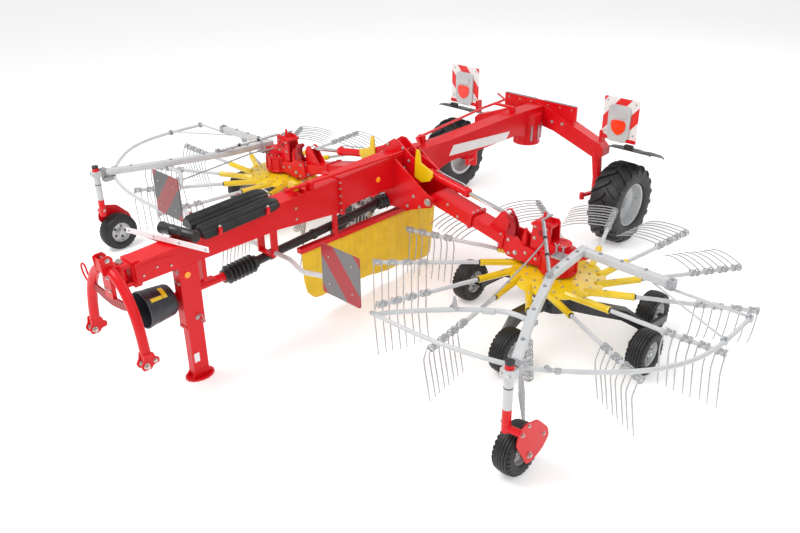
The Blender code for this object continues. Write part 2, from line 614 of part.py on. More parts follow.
def rear_light_panel(skin):
    x, y, z = REAR_PANEL
    half = PANEL / 2
    board = box((x - half, y, z - half), (x + half, y + 0.014, z + half))
    housing = [(x - 0.135, 1.19), (x - 0.105, 1.115), (x + 0.090, 1.115), (x + 0.125, 1.19),
               (x + 0.128, 1.49),
               (x + 0.10, 1.52), (x - 0.12, 1.52), (x - 0.138, 1.49)]
    lamp = prism(housing, "Y", y - 0.045, y + 0.005)
    block_z = REAR_R + mudguard_radius() + 0.004 + SEAT
    block = box((x - 0.125, y - 0.050, block_z), (x + 0.115, y + 0.035, 1.118))
    arm = box((0.845, y + 0.01, 1.115), (0.905, AXLE_Y[1] + 0.020, 1.185))
    foot = box((0.800, AXLE_Y[1] + SEAT, 0.92), (0.900, AXLE_Y[1] + 0.022, 1.170))
    strap = box((0.85, y - 0.02, 1.10), (x, y + 0.012, 1.175))
    return fuse("rear_light_panel_left", skin, [board, lamp, block, arm, foot, strap])


def mudguard_radius():
    return REAR_R + 0.150


def mudguard(skin):
    radius = mudguard_radius()
    inner = arc(radius - 0.004, 90, 128, 8)
    outer = arc(radius + 0.004, 90, 128, 8)
    # the arc runs backwards (+Y) and down from the crest above the axle
    outline = [(REAR_Y - a, REAR_R + b) for a, b in outer] + [(REAR_Y - a, REAR_R + b) for a,
                                                              b in inner[::-1]]
    return fuse("mudguard_left", skin, [prism(outline, "X", 0.990, 1.490)])


# ---- rear wheels ------------------------------------------------------------------------------
def steering_knuckle(skin):
    pin = cylinder((KINGPIN_X, REAR_Y, 0), "Z", 0.046, REAR_R - 0.075, LEG_BOTTOM_Z - SEAT, 12)
    stub = cylinder((0, REAR_Y, REAR_R), "X", 0.042, KINGPIN_X, HUB_INNER_X - SEAT, 14)
    arm = sweep([(KINGPIN_X - 0.005, REAR_Y, REAR_R + 0.03),
                 (KINGPIN_X - 0.055, REAR_Y - 0.20, REAR_R + 0.03)],
                flat_section(0.022, 0.014))
    ball = cylinder((KINGPIN_X - 0.055, REAR_Y - 0.19, REAR_R + 0.03), "Z", 0.028, -0.045, 0.030, 10)
    return fuse("steering_knuckle_left", skin, [pin, stub, arm, ball], origin=(KINGPIN_X, REAR_Y, REAR_R))


def rear_rim(skin):
    half = RIM_W / 2
    profile = [(0.0, HUB_INNER_X - REAR_X), (0.075, HUB_INNER_X - REAR_X), (0.080, -0.075), (0.150, -0.060),
               (0.195, 0.020), (0.205, -half), (RIM_R, -half), (RIM_R, half), (0.215, half), (0.205, 0.045),
               (0.160, 0.005), (0.085, 0.010), (0.060, 0.040), (0.0, 0.040)]
    return fuse("rear_rim_left", skin, [spin(profile, (REAR_X, REAR_Y, REAR_R), "X", REAR_STEPS)],
                origin=(REAR_X, REAR_Y, REAR_R))


def rear_tyre(skin):
    half, bead = REAR_W / 2, RIM_R + SEAT
    profile = [(bead, -half + 0.032), (bead + 0.05, -half + 0.004), (bead + 0.12, -half),
               (REAR_R - 0.030, -half + 0.010), (REAR_R, -half + 0.070), (REAR_R, half - 0.070),
               (REAR_R - 0.030, half - 0.010), (bead + 0.12, half), (bead + 0.05, half - 0.004),
               (bead, half - 0.032)]
    return fuse("rear_tyre_left", skin, [spin(profile, (REAR_X, REAR_Y, REAR_R), "X", REAR_STEPS)],
                origin=(REAR_X, REAR_Y, REAR_R))


# ---- booms ------------------------------------------------------------------------------------
def boom_box(skin):
    half_y, half_z = BOOM_HALF
    nose = arc(half_z, 90, 270, 6)
    outline = [boom_at(BOOM_LENGTH, half_z)] + [boom_at(a, b) for a,
                                                b in nose] + [boom_at(BOOM_LENGTH, -half_z)]
    shell = prism(outline, "Y", ROTOR_Y - half_y, ROTOR_Y + half_y)
    collar = boom_block(BOOM_LENGTH - 0.03, BOOM_LENGTH, half_y + 0.010, half_z + 0.010)
    pin = cylinder((BOOM_PIVOT[0], 0, BOOM_PIVOT[1]), "Y", BOOM_PIN_R, FIN_Y[0] - 0.012,
                   FIN_Y[1] + PLATE + 0.012, 16)
    spacers = [cylinder((BOOM_PIVOT[0], 0, BOOM_PIVOT[1]), "Y", 0.040, low, high, 14)
               for low, high in ((FIN_Y[0] + PLATE + 0.001, ROTOR_Y - half_y + 0.01),
                                 (ROTOR_Y + half_y - 0.01, FIN_Y[1] - 0.001))]
    hollow = boom_block(0.055, BOOM_LENGTH + 0.05, half_y - WALL, half_z - WALL)
    return fuse("boom_box_left", skin, [shell, collar, pin] + spacers, [hollow],
                origin=(BOOM_PIVOT[0], ROTOR_Y, BOOM_PIVOT[1]))


def boom_extension(skin):
    half_y, half_z = EXT_HALF
    beam = boom_block(EXT_START, EXT_END - 0.002, half_y, half_z)
    pad_y, pad_z = BOOM_HALF[0] - WALL - SEAT, BOOM_HALF[1] - WALL - SEAT
    pad = boom_block(EXT_START - 0.002, EXT_START + 0.035, pad_y, pad_z)
    flange = boom_block(EXT_END - 0.016, EXT_END, half_y + 0.030, half_z + 0.028)
    pieces = [beam, pad, flange]
    rod_along = (ROD_PIN[0] - BOOM_PIVOT[0]) * math.cos(BOOM_SLOPE) - (ROD_PIN[1] - BOOM_PIVOT[1]) * math.sin(BOOM_SLOPE)
    rod_up = (ROD_PIN[0] - BOOM_PIVOT[0]) * math.sin(BOOM_SLOPE) + (ROD_PIN[1] - BOOM_PIVOT[1]) * math.cos(BOOM_SLOPE)
    end = EXT_END - 0.002
    outline = [(rod_along - 0.13, half_z - 0.01), (end, half_z - 0.01), (end, rod_up - 0.03),
               (rod_along + 0.04, rod_up + 0.02), (rod_along, rod_up + 0.042),
               (rod_along - 0.04, rod_up + 0.02),
               (rod_along - 0.06, rod_up - 0.03)]
    for low, high in ((-0.052, -0.037), (0.037, 0.052)):
        pieces.append(prism([boom_at(a, b) for a, b in outline], "Y", ROTOR_Y + low, ROTOR_Y + high))
    return fuse("boom_extension_left", skin, pieces, origin=(BOOM_PIVOT[0], ROTOR_Y, BOOM_PIVOT[1]))


def cylinder_frame():
    """Direction of the lift cylinder, and its length between the pins."""
    start, end = Vector((BARREL_PIN[0], ROTOR_Y, BARREL_PIN[1])), Vector((ROD_PIN[0], ROTOR_Y, ROD_PIN[1]))
    return start, (end - start).normalized(), (end - start).length


def lift_barrel(skin):
    start, ahead, _ = cylinder_frame()
    body = tube([start + ahead * 0.035, start + ahead * BARREL_LENGTH], BARREL_R, 14)
    head = tube([start + ahead * (BARREL_LENGTH - 0.05), start + ahead * (BARREL_LENGTH - 0.004)],
                BARREL_R + 0.005, 14)
    eye = cylinder(start, "Y", 0.038, -TOWER_GAP + 0.005, TOWER_GAP - 0.005, 14)
    trunnion = cylinder(start, "Y", ROD_R, -TOWER_GAP - 0.0155, TOWER_GAP + 0.0155, 16)
    bore = tube([start + ahead * 0.048, start + ahead * (BARREL_LENGTH + 0.05)], ROD_R + PIN_PLAY, 12)
    return fuse("lift_barrel_left", skin, [body, head, eye, trunnion], [bore], origin=start)


def lift_rod(skin):
    start, ahead, reach = cylinder_frame()
    rod = tube([start + ahead * (BARREL_LENGTH - 0.030), start + ahead * (reach - 0.01)], ROD_R, 12)
    eye = cylinder(start + ahead * reach, "Y", 0.032, -0.028, 0.028, 14)
    return fuse("lift_rod_left", skin, [rod, eye], origin=start)


# ---- rotor head, undercarriage and rotor -------------------------------------------------------
def rotor_head(skin):
    mount = boom_block(EXT_END + SEAT, EXT_END + 0.018, EXT_HALF[0] + 0.030, EXT_HALF[1] + 0.028)
    pieces = [mount]
    cheek = [(1.362, 0.775), (1.395, 0.925), (1.500, 0.920), (1.600, 0.860), (1.745, 0.840), (1.800, 0.720),
             (1.560, 0.702), (1.420, 0.706)]
    for y in (ROTOR_Y - 0.100, ROTOR_Y + 0.080):
        pieces.append(prism(cheek, "Y", y, y + PLATE))
    pieces.append(box((1.400, ROTOR_Y - 0.09, 0.712), (1.80, ROTOR_Y + 0.09, 0.790)))
    pieces.append(cylinder((ROTOR_X, ROTOR_Y, 0), "Z", 0.150, 0.690, 0.880, 20))
    pieces.append(cylinder((ROTOR_X, ROTOR_Y, 0), "Z", 0.105, 0.860, 0.955, 16))
    ear = [(1.640, 0.76), (1.665, 1.100), (1.700, 1.125), (1.830, 1.135), (1.850, 1.105), (1.855, 0.76)]
    for y in (ROTOR_Y - 0.075, ROTOR_Y + 0.057):
        pieces.append(prism(ear, "Y", y, y + 0.018))
    pieces.append(box((1.650, ROTOR_Y - 0.085, 1.078), (1.838, ROTOR_Y + 0.085, 1.100)))
    shelf = [(1.80, 0.15), (2.13, 0.20), (2.19, 0.30), (2.15, 0.38), (1.86, 0.38)]
    pieces.append(prism(shelf, "Z", 0.885, 0.9097))
    return fuse("rotor_head_left", skin, pieces)


def rotor_chassis(skin):
    boss = cylinder((ROTOR_X, ROTOR_Y, 0), "Z", 0.230, 0.470, DISC_Z[0] - 0.008 - SEAT, 20)
    pot = cylinder((ROTOR_X, ROTOR_Y, 0), "Z", 0.150, 0.330, 0.490, 16)
    spindle = cylinder((ROTOR_X, ROTOR_Y, 0), "Z", SPINDLE_R, 0.40, 0.690 - SEAT, 20)
    pieces = [boss, pot, spindle]
    section = flat_section(0.040, 0.050)
    fork_x = FRONT_WHEEL[0] - SMALL_W / 2 - 0.035
    front = [(0.0, -0.05, CHASSIS_Z), (fork_x * 0.6, -0.30, CHASSIS_Z + 0.01),
             (fork_x, -0.46, CHASSIS_Z - 0.01),
             (fork_x, -0.66, SMALL_R + 0.05), (fork_x, FRONT_WHEEL[1] - 0.03, SMALL_R)]
    pieces.append(sweep([rotor_point(*p) for p in front], [section, section,
                                                           section] + [flat_section(0.020, 0.035)] * 2))
    pieces.append(cylinder(rotor_point(fork_x, FRONT_WHEEL[1], SMALL_R), "X", AXLE_STUB_R, 0.0,
                           FRONT_WHEEL[0] - SMALL_HUB_FACE - SEAT - fork_x, 12))
    for side, wheels in ((1, OUTER_WHEELS), (-1, INNER_WHEELS)):
        (front_x, front_y), (back_x, back_y) = wheels
        link_front = front_x - side * (SMALL_W / 2 + 0.050)
        link_back = back_x + side * (SMALL_W / 2 + 0.050)
        middle = (blend(link_front, link_back, 0.45), blend(front_y, back_y, 0.45))
        reach = [(side * 0.08, 0.0, CHASSIS_Z), (side * 0.34, 0.05, CHASSIS_Z + 0.02),
                 (side * 0.56, middle[1] - 0.13, CHASSIS_Z - 0.02), (middle[0], middle[1], SMALL_R + 0.045)]
        pieces.append(sweep([rotor_point(*p) for p in reach],
                            [section, section, section, flat_section(0.035, 0.035)]))
        link = [(link_front, front_y, SMALL_R), (middle[0], middle[1], SMALL_R + 0.045),
                (link_back, back_y, SMALL_R)]
        pieces.append(sweep([rotor_point(*p) for p in link], flat_section(0.018, 0.034)))
        for link_x, wheel_x, y, reach_out in ((link_front, front_x, front_y, side),
                                              (link_back, back_x, back_y, -side)):
            length = abs(wheel_x - link_x) - SMALL_HUB_FACE - SEAT
            ends = (0.0, length) if reach_out > 0 else (-length, 0.0)
            pieces.append(cylinder(rotor_point(link_x, y, SMALL_R), "X", AXLE_STUB_R, *ends, 12))
    return fuse("rotor_chassis_left", skin, pieces)


def arm_line(radius):
    """Point on an arm at a distance from the rotor axis, with the tip on the X axis."""
    lean = math.asin(ARM_OFFSET / ARM_TIP_RADIUS)
    ahead = Vector((math.cos(lean), math.sin(lean), 0))
    foot = Vector((ARM_OFFSET * math.sin(lean), -ARM_OFFSET * math.cos(lean), 0))
    return foot + ahead * math.sqrt(radius ** 2 - ARM_OFFSET ** 2), ahead


def tine_arm(raised):
    """One arm: its socket, tube and eight tines, hanging or tilted up to trail behind the arm."""
    def on_arm(radius):
        point, ahead = arm_line(radius)
        return point + Vector((0, 0, ARM_Z)), ahead
    tip, ahead = on_arm(ARM_TIP_RADIUS)
    socket = tube([on_arm(SOCKET_START)[0], on_arm(SOCKET_END)[0]], SOCKET_R, 6)
    arm = tube([on_arm(SOCKET_END - 0.05)[0], tip + ahead * 0.012], ARM_R, 5)
    behind = Vector((-ahead.y, ahead.x, 0))       # a rotor turns the other way, so tines trail here
    down = Vector((0, 0, -1))
    tines = []
    for radius in TINE_RADII:
        middle = on_arm(radius)[0]
        for offset in (-TINE_PAIR, TINE_PAIR):
            start = middle + ahead * offset
            if raised:
                bend, end = start + behind * 0.12 + down * -0.035, start + behind * TINE_DROP * 0.93 + down * 0.055
            else:
                bend, end = start - behind * TINE_KINK[0] + down * -TINE_KINK[1], start + down * TINE_DROP
            tines.append(tube([start, bend, end], TINE_R, 3))
    return socket, arm, tines


def rotor(skin):
    disc_low, disc_high = DISC_Z
    bore = SPINDLE_R + 0.002
    profile = [(bore, disc_low - 0.008), (0.30, disc_low - 0.008), (DISC_R - 0.02, disc_low + 0.010),
               (DISC_R, disc_low + 0.025), (DISC_R - 0.01, disc_high - 0.012), (0.30, disc_high),
               (bore, disc_high + 0.012)]
    disc = spin(profile, (0, 0, 0), "Z", 26)
    sockets, arms, tines = [], [], []
    for k in range(ARM_COUNT):
        socket, arm, arm_tines = tine_arm(k in RAISED_ARMS)
        turn = Matrix.Rotation(math.radians(FIRST_ARM_DEG + 360.0 * k / ARM_COUNT), 4, "Z")
        for piece in [socket, arm] + arm_tines:
            piece.data.transform(turn)
        sockets.append(socket)
        arms.append(arm)
        tines += arm_tines
    item = fuse("rotor_left", skin, [disc, joined(sockets), joined(arms), joined(tines)])
    item.location = (ROTOR_X, ROTOR_Y, 0)
    return item


# ---- small wheels ------------------------------------------------------------------------------
def small_wheel(name, skin, x, y):
    half, r = SMALL_W / 2, SMALL_R
    profile = [(0.0, -SMALL_HUB_FACE), (0.100, -SMALL_HUB_FACE), (0.118, -half), (r - 0.018, -half + 0.008),
               (r, -half + 0.045), (r, half - 0.045), (r - 0.018, half - 0.008), (0.118, half),
               (0.100, SMALL_HUB_FACE), (0.0, SMALL_HUB_FACE)]
    return fuse(name, skin, [spin(profile, (x, y, r), "X", 16)], origin=(x, y, r))


# ---- rotor guard and sensing wheel --------------------------------------------------------------
def guard_frame(skin):
    square = flat_section(0.034, 0.034)
    beam_z = 0.9440
    leader_path = [(2.115, 0.345, beam_z), (2.185, -0.250, beam_z), (2.445, -0.880, 0.930), LEADER_END]
    outrigger_path = [(2.160, 0.300, beam_z), OUTRIGGER_END]
    hoop = [(x, y, HOOP_Z) for x, y in HOOP_PATH]
    link_path = [(OUTRIGGER_END[0] - 0.14, OUTRIGGER_END[1] + 0.005, beam_z - 0.036),
                 (HOOP_PATH[-1][0] + 0.012, HOOP_PATH[-1][1] - 0.03, HOOP_Z)]
    end_x, end_y, end_z = LEADER_END
    end_plate = box((SENSE_X - 0.050, POST_PLATE_Y, 0.875), (SENSE_X + 0.040, end_y + 0.015, 0.955))
    drop = box((2.655, -1.470, HOOP_Z - 0.018), (2.735, -1.330, end_z))
    inner = [(2.460, -0.870, 0.890), (2.200, -0.860, 0.870), (1.900, -1.050, 0.855),
             (1.600, -1.360, HOOP_Z),
             (1.480, -1.531, HOOP_Z)]
    drop_inner = box((2.385, -0.905, 0.872), (2.480, -0.840, 0.920))
    fin = prism([(1.800, -1.12), (1.845, -1.14), (2.02, -0.98), (1.98, -0.95)], "Z", 0.845, 0.868)
    pieces = [sweep(leader_path, square), sweep(outrigger_path, square), tube(hoop, HOOP_TUBE_R),
              sweep(link_path, flat_section(0.022, 0.011)), end_plate, drop, tube(inner, 0.021), drop_inner,
              fin]
    return fuse("guard_frame_left", skin, pieces)


def sensing_post(skin):
    post = cylinder((SENSE_X, POST_Y, 0), "Z", POST_R, 0.430, 1.005, 14)
    clamp = box((SENSE_X - 0.048, POST_Y - 0.045, 0.880), (SENSE_X + 0.048, POST_PLATE_Y - SEAT, 0.950))
    plate_x = SENSE_X + SMALL_W / 2 + 0.022
    knee = sweep([(SENSE_X, POST_Y, 0.462), (plate_x + 0.006, POST_Y + 0.020, 0.455)],
                 flat_section(0.030, 0.022))
    outline = [(-1.560, 0.36), (-1.540, 0.45), (-1.47, 0.505), (-1.32, 0.465), (-1.19, 0.33),
               (-1.165, 0.245),
               (-1.24, 0.165), (-1.36, 0.125), (-1.43, 0.135), (-1.50, 0.26)]
    plate = prism(outline, "X", plate_x, plate_x + 0.010)
    stub = cylinder((0, SENSE_Y, SMALL_R), "X", AXLE_STUB_R, SENSE_X + SMALL_HUB_FACE + SEAT,
                    plate_x + 0.012, 12)
    return fuse("sensing_post_left", skin, [post, clamp, knee, plate, stub],
                origin=(SENSE_X, POST_Y, SMALL_R))


# ---- build ------------------------------------------------------------------------------------
def small_wheel_places():
    """Name and place of each small wheel on the left-hand side."""
    places = [("front", FRONT_WHEEL), ("outer_front", OUTER_WHEELS[0]), ("outer_rear", OUTER_WHEELS[1]),
              ("inner_front", INNER_WHEELS[0]), ("inner_rear", INNER_WHEELS[1])]
    for label, (x, y) in places:
        yield "rotor_wheel_%s_left" % label, ROTOR_X + x, ROTOR_Y + y
    yield "sensing_wheel_left", SENSE_X, SENSE_Y


def attach(child, parent):
    child.parent = parent
    child.matrix_parent_inverse = parent.matrix_world.inverted()


def build():
    for item in list(bpy.data.objects):
        bpy.data.objects.remove(item, do_unlink=True)
    red = material("red paint", (0.62, 0.012, 0.010), 0.35)
    yellow = material("yellow paint", (0.85, 0.52, 0.02), 0.40)
    white = material("white coating", (0.80, 0.80, 0.80), 0.40)
    black = material("black plastic", (0.02, 0.02, 0.022), 0.55)
    rubber = material("tyre rubber", (0.03, 0.03, 0.03), 0.80)
    grey = material("rim grey", (0.45, 0.46, 0.47), 0.40, 0.6)
    chrome = material("chromed rod", (0.75, 0.75, 0.76), 0.15, 1.0)

    for make, skin in ((front_beam, red), (centre_frame, red), (rear_beam, red), (axle_beam, red),
                       (headstock, red),
                       (jack_sleeve, red), (jack_leg, red), (drive_shaft, black), (pto_guard, black),
                       (centre_gearbox, red), (curtain_rail, red), (swath_curtain, yellow),
                       (reflector_bar, white),
                       (tine_guard_stack, black), (tool_tube, black), (steering_rod, red)):
        make(skin)

    left = [transport_hook(yellow), front_warning_panel(red), rear_light_panel(red), mudguard(black),
            steering_knuckle(red), rear_rim(grey), rear_tyre(rubber), boom_box(red), boom_extension(red),
            lift_barrel(red), lift_rod(chrome), rotor_head(red), rotor_chassis(black), rotor(yellow),
            guard_frame(white), sensing_post(red)]
    left += [small_wheel(name, rubber, x, y) for name, x, y in small_wheel_places()]
    right = [mirrored(item, item.name.replace("_left", "_right")) for item in left]
    bpy.context.view_layer.update()

    for items in (left, right):
        named = {item.name.rsplit("_", 1)[0]: item for item in items}
        attach(named["boom_extension"], named["boom_box"])
        attach(named["lift_rod"], named["lift_barrel"])
        for name in ("rear_rim", "rear_tyre"):
            attach(named[name], named["steering_knuckle"])
        for name in named:
            if name in ("rotor_head", "rotor_chassis", "guard_frame", "sensing_post",
                        "rotor") or "wheel" in name:
                attach(named[name], named["boom_extension"])


build()
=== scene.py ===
"""Looks of the twin rotor hay rake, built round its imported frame.

Metres, front towards -Y, left towards +X. Left-hand pieces are made, and both() mirrors them.
"""
import json
import math

import bmesh
import bpy
from mathutils import Matrix, Vector


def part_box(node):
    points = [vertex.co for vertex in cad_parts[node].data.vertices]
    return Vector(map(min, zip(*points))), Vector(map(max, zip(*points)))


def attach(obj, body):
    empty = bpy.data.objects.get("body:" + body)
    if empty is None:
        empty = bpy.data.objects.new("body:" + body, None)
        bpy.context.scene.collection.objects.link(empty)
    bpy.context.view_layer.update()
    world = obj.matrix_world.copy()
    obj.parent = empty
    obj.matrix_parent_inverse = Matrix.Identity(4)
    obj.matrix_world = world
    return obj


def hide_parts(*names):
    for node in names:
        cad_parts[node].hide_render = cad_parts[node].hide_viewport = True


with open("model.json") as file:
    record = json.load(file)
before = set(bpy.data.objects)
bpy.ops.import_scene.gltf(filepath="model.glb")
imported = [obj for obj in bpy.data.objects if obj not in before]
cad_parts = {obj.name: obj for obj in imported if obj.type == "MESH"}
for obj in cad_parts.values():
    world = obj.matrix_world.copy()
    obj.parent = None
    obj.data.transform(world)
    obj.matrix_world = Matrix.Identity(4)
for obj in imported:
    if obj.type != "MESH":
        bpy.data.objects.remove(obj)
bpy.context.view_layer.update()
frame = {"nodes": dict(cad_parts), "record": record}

# ---- places taken from the frame ----------------------------------------------------------------
JOINTS = {joint["name"]: joint for joint in frame["record"]["behaviour"]["joints"]}
ROTOR = Vector(JOINTS["rotor_spin_left"]["pos_m"])
BOOM_PIVOT = Vector(JOINTS["boom_fold_left"]["pos_m"])
BOOM_AXIS = Vector(JOINTS["boom_telescope_left"]["axis"])
BARREL_PIN = Vector(JOINTS["lift_barrel_pivot_left"]["pos_m"])
LIFT_AXIS = Vector(JOINTS["lift_rod_slide_left"]["axis"])
REAR_WHEEL = Vector(JOINTS["rear_wheel_spin_left"]["pos_m"])
HEAD_PIVOT = Vector(JOINTS["headstock_yaw"]["pos_m"])

# ---- sizes shared with the frame's own source ---------------------------------------------------
SMALL_R, SMALL_W = 0.203, 0.165
REAR_R, REAR_W, RIM_R = 0.45, 0.35, 0.24
ARM_Z, ARM_COUNT, ARM_TIP, ARM_OFFSET = 0.643, 13, 1.638, 0.25
SOCKET_FROM, SOCKET_TO, ARM_FROM, ARM_BEND = 0.35, 0.705, 0.69, 0.88     # radii
FIRST_ARM_DEG = 186.3
RAISED_ARMS = (8, 9, 10, 11, 12)
TILTED_ARM = 7
TINE_RADII = (1.21, 1.345, 1.48, 1.615)
HOOP_Z = 0.85
HOOP_PATH = ((1.43, -1.534), (1.75, -1.533), (2.09, -1.51), (2.42, -1.45), (2.73, -1.345), (3.03, -1.14),
    (3.28, -0.9), (3.42, -0.71), (3.51, -0.52), (3.56, -0.3), (3.577, 0.0), (3.57, 0.36))
DRIVE_X = -0.05
DRIVE_PATH = ((-2.37, 0.75), (-1.84, 0.75), (-0.35, 0.835), (0.02, 0.868), (0.385, 0.845), (0.42, 0.845))
LEFT_AND_RIGHT = (("left", 1), ("right", -1))


# ---- shapes --------------------------------------------------------------------------------------
class Shape:
    """Points and faces of one piece, added to bit by bit. A face's tint picks one of its materials."""

    def __init__(self):
        self.points, self.faces, self.tints = [], [], []

    def add(self, points, faces, tint=0):
        base = len(self.points)
        self.points += [Vector(p) for p in points]
        self.faces += [tuple(base + i for i in face) for face in faces]
        self.tints += [tint] * len(faces)
        return self

    def loft(self, rings, tint=0, wrap=False, caps=True):
        count = len(rings[0])
        faces = grid_faces(len(rings), count, wrap_rows=wrap)
        if caps and not wrap:
            last = (len(rings) - 1) * count
            faces.append(tuple(range(count))[::-1])
            faces.append(tuple(last + j for j in range(count)))
        return self.add([p for ring in rings for p in ring], faces, tint)

    def prism(self, outline, axis, low, high, tint=0):
        """An outline extruded along X (points y, z), Y (points x, z) or Z (points x, y)."""
        def place(a, b, c):
            return {"X": (c, a, b), "Y": (a, c, b), "Z": (a, b, c)}[axis]
        return self.loft([[place(a, b, end) for a, b in outline] for end in (low, high)], tint)

    def slab(self, x0, y0, x1, y1, corner, axis, low, high):
        """A rectangle with rounded corners, extruded like a prism."""
        return self.prism(rounded_outline(rectangle(x0, y0, x1, y1), corner), axis, low, high)

    def box(self, low, high, tint=0):
        return self.prism(rectangle(*low[:2], *high[:2]), "Z", low[2], high[2], tint)

    def sweep(self, path, sections, tint=0, level=(0, 0, 1)):
        """Carry a section (sideways, up) along a path; `sections` is one section or one per point."""
        points = [Vector(p) for p in path]
        if not isinstance(sections[0][0], (tuple, list)):
            sections = [sections] * len(points)
        rings = []
        for point, ahead, section in zip(points, headings(points), sections):
            up = Vector(level) if abs(ahead.dot(Vector(level))) < 0.95 else Vector((0, 1, 0.01))
            side = ahead.cross(up).normalized()
            up = side.cross(ahead)
            rings.append([point + side * a + up * b for a, b in section])
        return self.loft(rings, tint)

    def tube(self, path, radius, sides=14, tint=0):
        """A round tube without twist; `radius` is one number or one per point."""
        points = [Vector(p) for p in path]
        radii = radius if isinstance(radius, (tuple, list)) else [radius] * len(points)
        rings, side = [], None
        for point, ahead, size in zip(points, headings(points), radii):
            if side is None:
                side = ahead.cross(Vector((0, 0, 1)) if abs(ahead.z) < 0.9 else Vector((0, 1, 0)))
            side = (side - ahead * side.dot(ahead)).normalized()
            up = side.cross(ahead)
            rings.append([point + side * a + up * b for a, b in circle(size, sides, 0.5)])
        return self.loft(rings, tint)

    def spin(self, profile, centre, axis, steps=32, tint=0, wrap=True):
        """Turn a profile of (radius, along) about an axis."""
        centre = Vector(centre)
        points = [centre + on_axis(axis, radius * c, radius * s, along) for c,
            s in circle(1.0, steps) for radius, along in profile]
        return self.add(points, grid_faces(steps, len(profile), wrap_rows=True, wrap=wrap), tint)

    def disc(self, centre, axis, radius, low, high, steps=24, tint=0, edge=0.0015):
        """A round bar or disc with a small chamfer at both ends."""
        edge = min(edge, (high - low) * 0.4, radius * 0.4)
        profile = [(0.0, low), (radius - edge, low), (radius, low + edge), (radius, high - edge),
            (radius - edge, high), (0.0, high)]
        return self.spin(profile, centre, axis, steps, tint, wrap=False)

    def bolt(self, at, axis, size=0.018, sign=1, tint=0):
        """A hexagon head on a washer; size is the width of the head."""
        at = Vector(at)
        def ring(radius, along, sides):
            return [at + on_axis(axis, a, b, along * sign) for a, b in circle(radius, sides)]
        self.loft([ring(size * 0.85, 0.0, 16), ring(size * 0.85, size * 0.14, 16)], tint)
        head = [ring(size * wide, size * high, 6) for wide, high in ((0.57, 0.14), (0.57, 0.58),
            (0.47, 0.68))]
        return self.loft(head, tint)

    def coil(self, centre, ahead, radius, wire, turns, pitch, start_deg=0.0, sides=6, tint=0, steps=11):
        """A helix of wire round the direction `ahead`; returns its two ends."""
        ahead = Vector(ahead).normalized()
        side = ahead.cross(Vector((0, 0, 1))).normalized()
        up = side.cross(ahead)
        path = []
        total = int(turns * steps)
        for i in range(total + 1):
            a = math.radians(start_deg) + 2 * math.pi * i / steps
            along = (i / total - 0.5) * turns * pitch
            path.append(Vector(centre) + ahead * along + side * radius * math.cos(a) + up * radius
                * math.sin(a))
        self.tube(path, wire, sides, tint)
        return path[0], path[-1]

    def turned(self, matrix):
        self.points = [matrix @ p for p in self.points]
        return self

    def mirrored(self):
        twin = Shape()
        twin.points = [Vector((-p.x, p.y, p.z)) for p in self.points]
        twin.faces = [face[::-1] for face in self.faces]
        twin.tints = list(self.tints)
        return twin

    def merge(self, other, tint=None):
        base = len(self.points)
        self.points += [p.copy() for p in other.points]
        self.faces += [tuple(base + i for i in face) for face in other.faces]
        self.tints += other.tints if tint is None else [tint] * len(other.faces)
        return self


def rectangle(x0, y0, x1, y1):
    return [(x0, y0), (x1, y0), (x1, y1), (x0, y1)]


def on_axis(axis, a, b, along):
    return Vector({"X": (along, a, b), "Y": (a, along, b), "Z": (a, b, along)}[axis])


def polar(axis, radius, angle, along):
    return on_axis(axis, radius * math.cos(angle), radius * math.sin(angle), along)


def circle(radius, count, turn=0.0):
    """Points of a circle; `turn` shifts them by a share of one step."""
    angles = [2 * math.pi * (i + turn) / count for i in range(count)]
    return [(radius * math.cos(a), radius * math.sin(a)) for a in angles]


def grid_faces(rows, count, wrap_rows=False, wrap=True):
    """Four-sided faces between rows of `count` points each."""
    faces = []
    for i in range(rows if wrap_rows else rows - 1):
        a, b = i * count, (i + 1) % rows * count
        for j in range(count if wrap else count - 1):
            k = (j + 1) % count
            faces.append((a + j, a + k, b + k, b + j))
    return faces


def headings(points):
    """The direction of a path at each of its points."""
    legs = [(b - a).normalized() for a, b in zip(points, points[1:])]
    return [(a + b).normalized() for a, b in zip(legs[:1] + legs, legs + legs[-1:])]


def bezier(start, middle, end, steps):
    """A curve from start to end, drawn towards the middle point."""
    shares = [i / steps for i in range(steps + 1)]
    return [start * (1 - t) ** 2 + middle * 2 * t * (1 - t) + end * t * t for t in shares]


def rounded_section(half_width, half_height, corner=0.006, steps=3):
    points = []
    for x, y, start in ((1, 1, 0), (-1, 1, 90), (-1, -1, 180), (1, -1, 270)):
        for i in range(steps + 1):
            a = math.radians(start + 90 * i / steps)
            points.append((x * (half_width - corner) + corner * math.cos(a),
                y * (half_height - corner) + corner * math.sin(a)))
    return points


def rounded_outline(corners, radius, steps=4):
    """An outline with its corners rounded; radius is one number or one per corner."""
    radii = radius if isinstance(radius, (tuple, list)) else [radius] * len(corners)
    points = []
    for i, corner in enumerate(corners):
        here, back, front = (Vector(p) for p in (corner, corners[i - 1], corners[(i + 1) % len(corners)]))
        back, front = back - here, front - here
        reach = min(radii[i], back.length * 0.45, front.length * 0.45)
        a, b = here + back.normalized() * reach, here + front.normalized() * reach
        points += [tuple(p) for p in bezier(a, here, b, steps)]
    return points


def smooth_path(points, steps=6):
    """A path through the points, with rounded bends."""
    points = [Vector(p) for p in points]
    result = []
    for i in range(len(points) - 1):
        p0 = points[max(i - 1, 0)]
        p1, p2 = points[i], points[i + 1]
        p3 = points[min(i + 2, len(points) - 1)]
        for j in range(steps):
            t = j / steps
            result.append(0.5 * ((2 * p1) + (p2 - p0) * t + (2 * p0 - 5 * p1 + 4 * p2 - p3) * t * t
                + (3 * p1 - p0 - 3 * p2 + p3) * t ** 3))
    return result + [points[-1]]


def blend(low, high, share):
    return low + (high - low) * share


